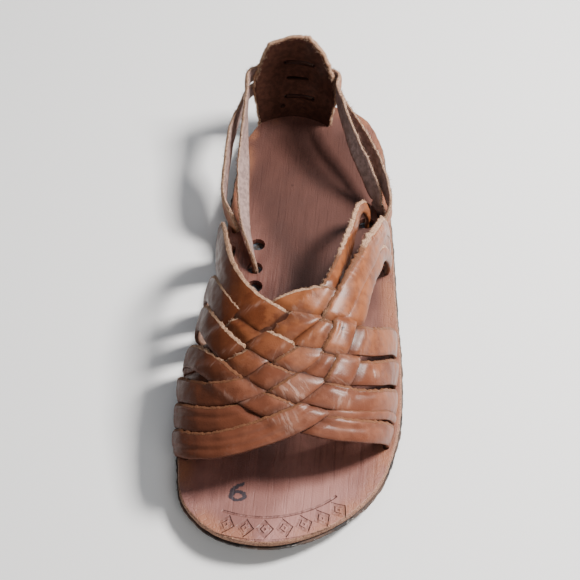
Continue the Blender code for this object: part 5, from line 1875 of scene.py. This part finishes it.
@dataclass
class Studio:
    """Pale floor, soft light and the camera at the photograph's angle."""

    camera_place: tuple = (34.33, -399.3, 501.5)
    aim: tuple = (-4.25, -4.05, 20.0)
    roll: float = -1.23
    image: float = 580.0
    focal_pixels: float = 1486.0
    sensor: float = 36.0
    # Name, place in mm, size in mm, power in watts and colour of each light.
    lights: tuple = (
        ("window", (590.0, 170.0, 720.0), 250.0, 22.5, (1.0, 0.965, 0.94)),
        ("sky", (60.0, 720.0, 780.0), 420.0, 1.9, (0.84, 0.92, 1.0)),
        ("front", (320.0, -760.0, 620.0), 600.0, 3.2, (1.0, 0.98, 0.96)),
    )
    lights_aim: tuple = (0.0, 0.0, 20.0)
    world_strength: float = 0.15
    floor_reach: float = 6000.0

    def build(self) -> None:
        """Add the floor, the lights and the camera."""
        self.floor()
        for light in self.lights:
            self.light(*light)
        world = bpy.data.worlds.new("studio")
        bpy.context.scene.world = world
        world.use_nodes = True
        background = world.node_tree.nodes["Background"]
        background.inputs["Color"].default_value = rgba(0.93, 0.95, 1.0)
        background.inputs["Strength"].default_value = self.world_strength
        data = bpy.data.cameras.new("camera")
        data.sensor_width = self.sensor
        data.lens = self.focal_pixels * self.sensor / self.image
        data.clip_start = 0.01
        camera = link("camera", data)
        view = self.look(Vector(self.camera_place) * MM, Vector(self.aim) * MM)
        camera.matrix_world = view @ Matrix.Rotation(math.radians(self.roll), 4, "Z")
        bpy.context.scene.camera = camera

    def look(self, place: Vector, aim: Vector) -> Matrix:
        """Return the matrix of something at a place that looks at an aim."""
        turn = (aim - place).to_track_quat("-Z", "Y").to_matrix().to_4x4()
        return Matrix.Translation(place) @ turn

    def light(self, name: str, place: tuple, size: float, power: float, colour: tuple) -> None:
        """Add a soft square light that looks at the sandal."""
        data = bpy.data.lights.new(name, "AREA")
        data.energy = power
        data.size = size * MM
        data.color = colour
        lamp = link(name, data)
        spot = Vector(place) * MM
        lamp.matrix_world = self.look(spot, Vector(self.lights_aim) * MM)

    def floor(self) -> None:
        """Add the pale floor."""
        _, shader, material = start_material("floor paint", Roughness=0.7)
        shader.inputs["Base Color"].default_value = rgba(0.90, 0.90, 0.89)
        mesh = bpy.data.meshes.new("floor")
        reach = self.floor_reach * MM
        corners = [(x * reach, y * reach, 0.0) for x, y in ((-1, -1), (1, -1), (1, 1), (-1, 1))]
        mesh.from_pydata(corners, [], [(0, 1, 2, 3)])
        mesh.materials.append(material)
        ground = link("floor", mesh)


def place_piece(made: Object, slot: str, *nodes: str) -> None:
    """Let a piece ride on the sandal and stand for CAD nodes."""
    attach(made, "root")
    if nodes:
        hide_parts(*nodes)
    LOG.info("%s: %d faces", made.name, len(made.data.polygons))


def main() -> None:
    """Build the sandal and its studio."""
    logging.basicConfig(level=logging.INFO, format="%(message)s")
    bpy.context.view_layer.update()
    Studio().build()
    upper = WovenUpper()
    counter = HeelCounter()
    heel = HeelStraps(counter)
    sole = Outsole().build()
    place_piece(sole, "outsole_rubber", "outsole")
    place_piece(Insole().build(upper, heel), "insole_leather", "insole")
    vamp = upper.build()
    for made in vamp:
        place_piece(made, "strap_leather", "woven_upper")
    # The counter's flesh side is near black: painted shade on its inner face, which the light from
    # behind does not reach.
    counter_leather = StrapLeather(
        "counter leather", light=rgba(0.20, 0.075, 0.036), dark=rgba(0.075, 0.028, 0.015),
        flesh=rgba(0.066, 0.025, 0.016), roughness=0.55)
    back = counter.build(counter_leather.material())
    place_piece(back, "counter_leather", "heel_counter")
    # The keeper's flesh side is near black: painted shade inside the slits.
    keeper_leather = StrapLeather("keeper leather", flesh=rgba(0.030, 0.012, 0.008))
    place_piece(heel.build_keeper(keeper_leather.material()), "strap_leather", "counter_keeper")
    bands = heel.build()
    for made, node in zip(bands, ("heel_strap_upper", "heel_strap_lower")):
        place_piece(made, "heel_strap_leather", node)
    fibres = Fibres()
    pale = Plain("pale fibres", rgba(0.55, 0.38, 0.27), rgba(0.24, 0.12, 0.07))
    grey = Plain("grey fibres", rgba(0.36, 0.25, 0.20), rgba(0.06, 0.030, 0.020))
    cord = Plain("cord ends", rgba(0.55, 0.52, 0.48), rgba(0.25, 0.22, 0.20))
    for name, owners, size, look, slot in (
            ("vamp_fibres", vamp, FibreSize(0.85, 0.060, 2.4, 3), pale, "strap_leather"),
            ("heel_strap_fibres", bands, FibreSize(1.5, 0.075, 3.4, 4), grey, "heel_strap_leather"),
            ("counter_fibres", [back], FibreSize(1.0, 0.07, 4.0, 5), pale, "counter_leather"),
            ("cord_ends", [sole], FibreSize(1.1, 0.10, 0.22, 6, 1.3), cord, "outsole_rubber")):
        place_piece(fibres.build(name, owners, size, look), slot)


if __name__ == "__main__":
    main()
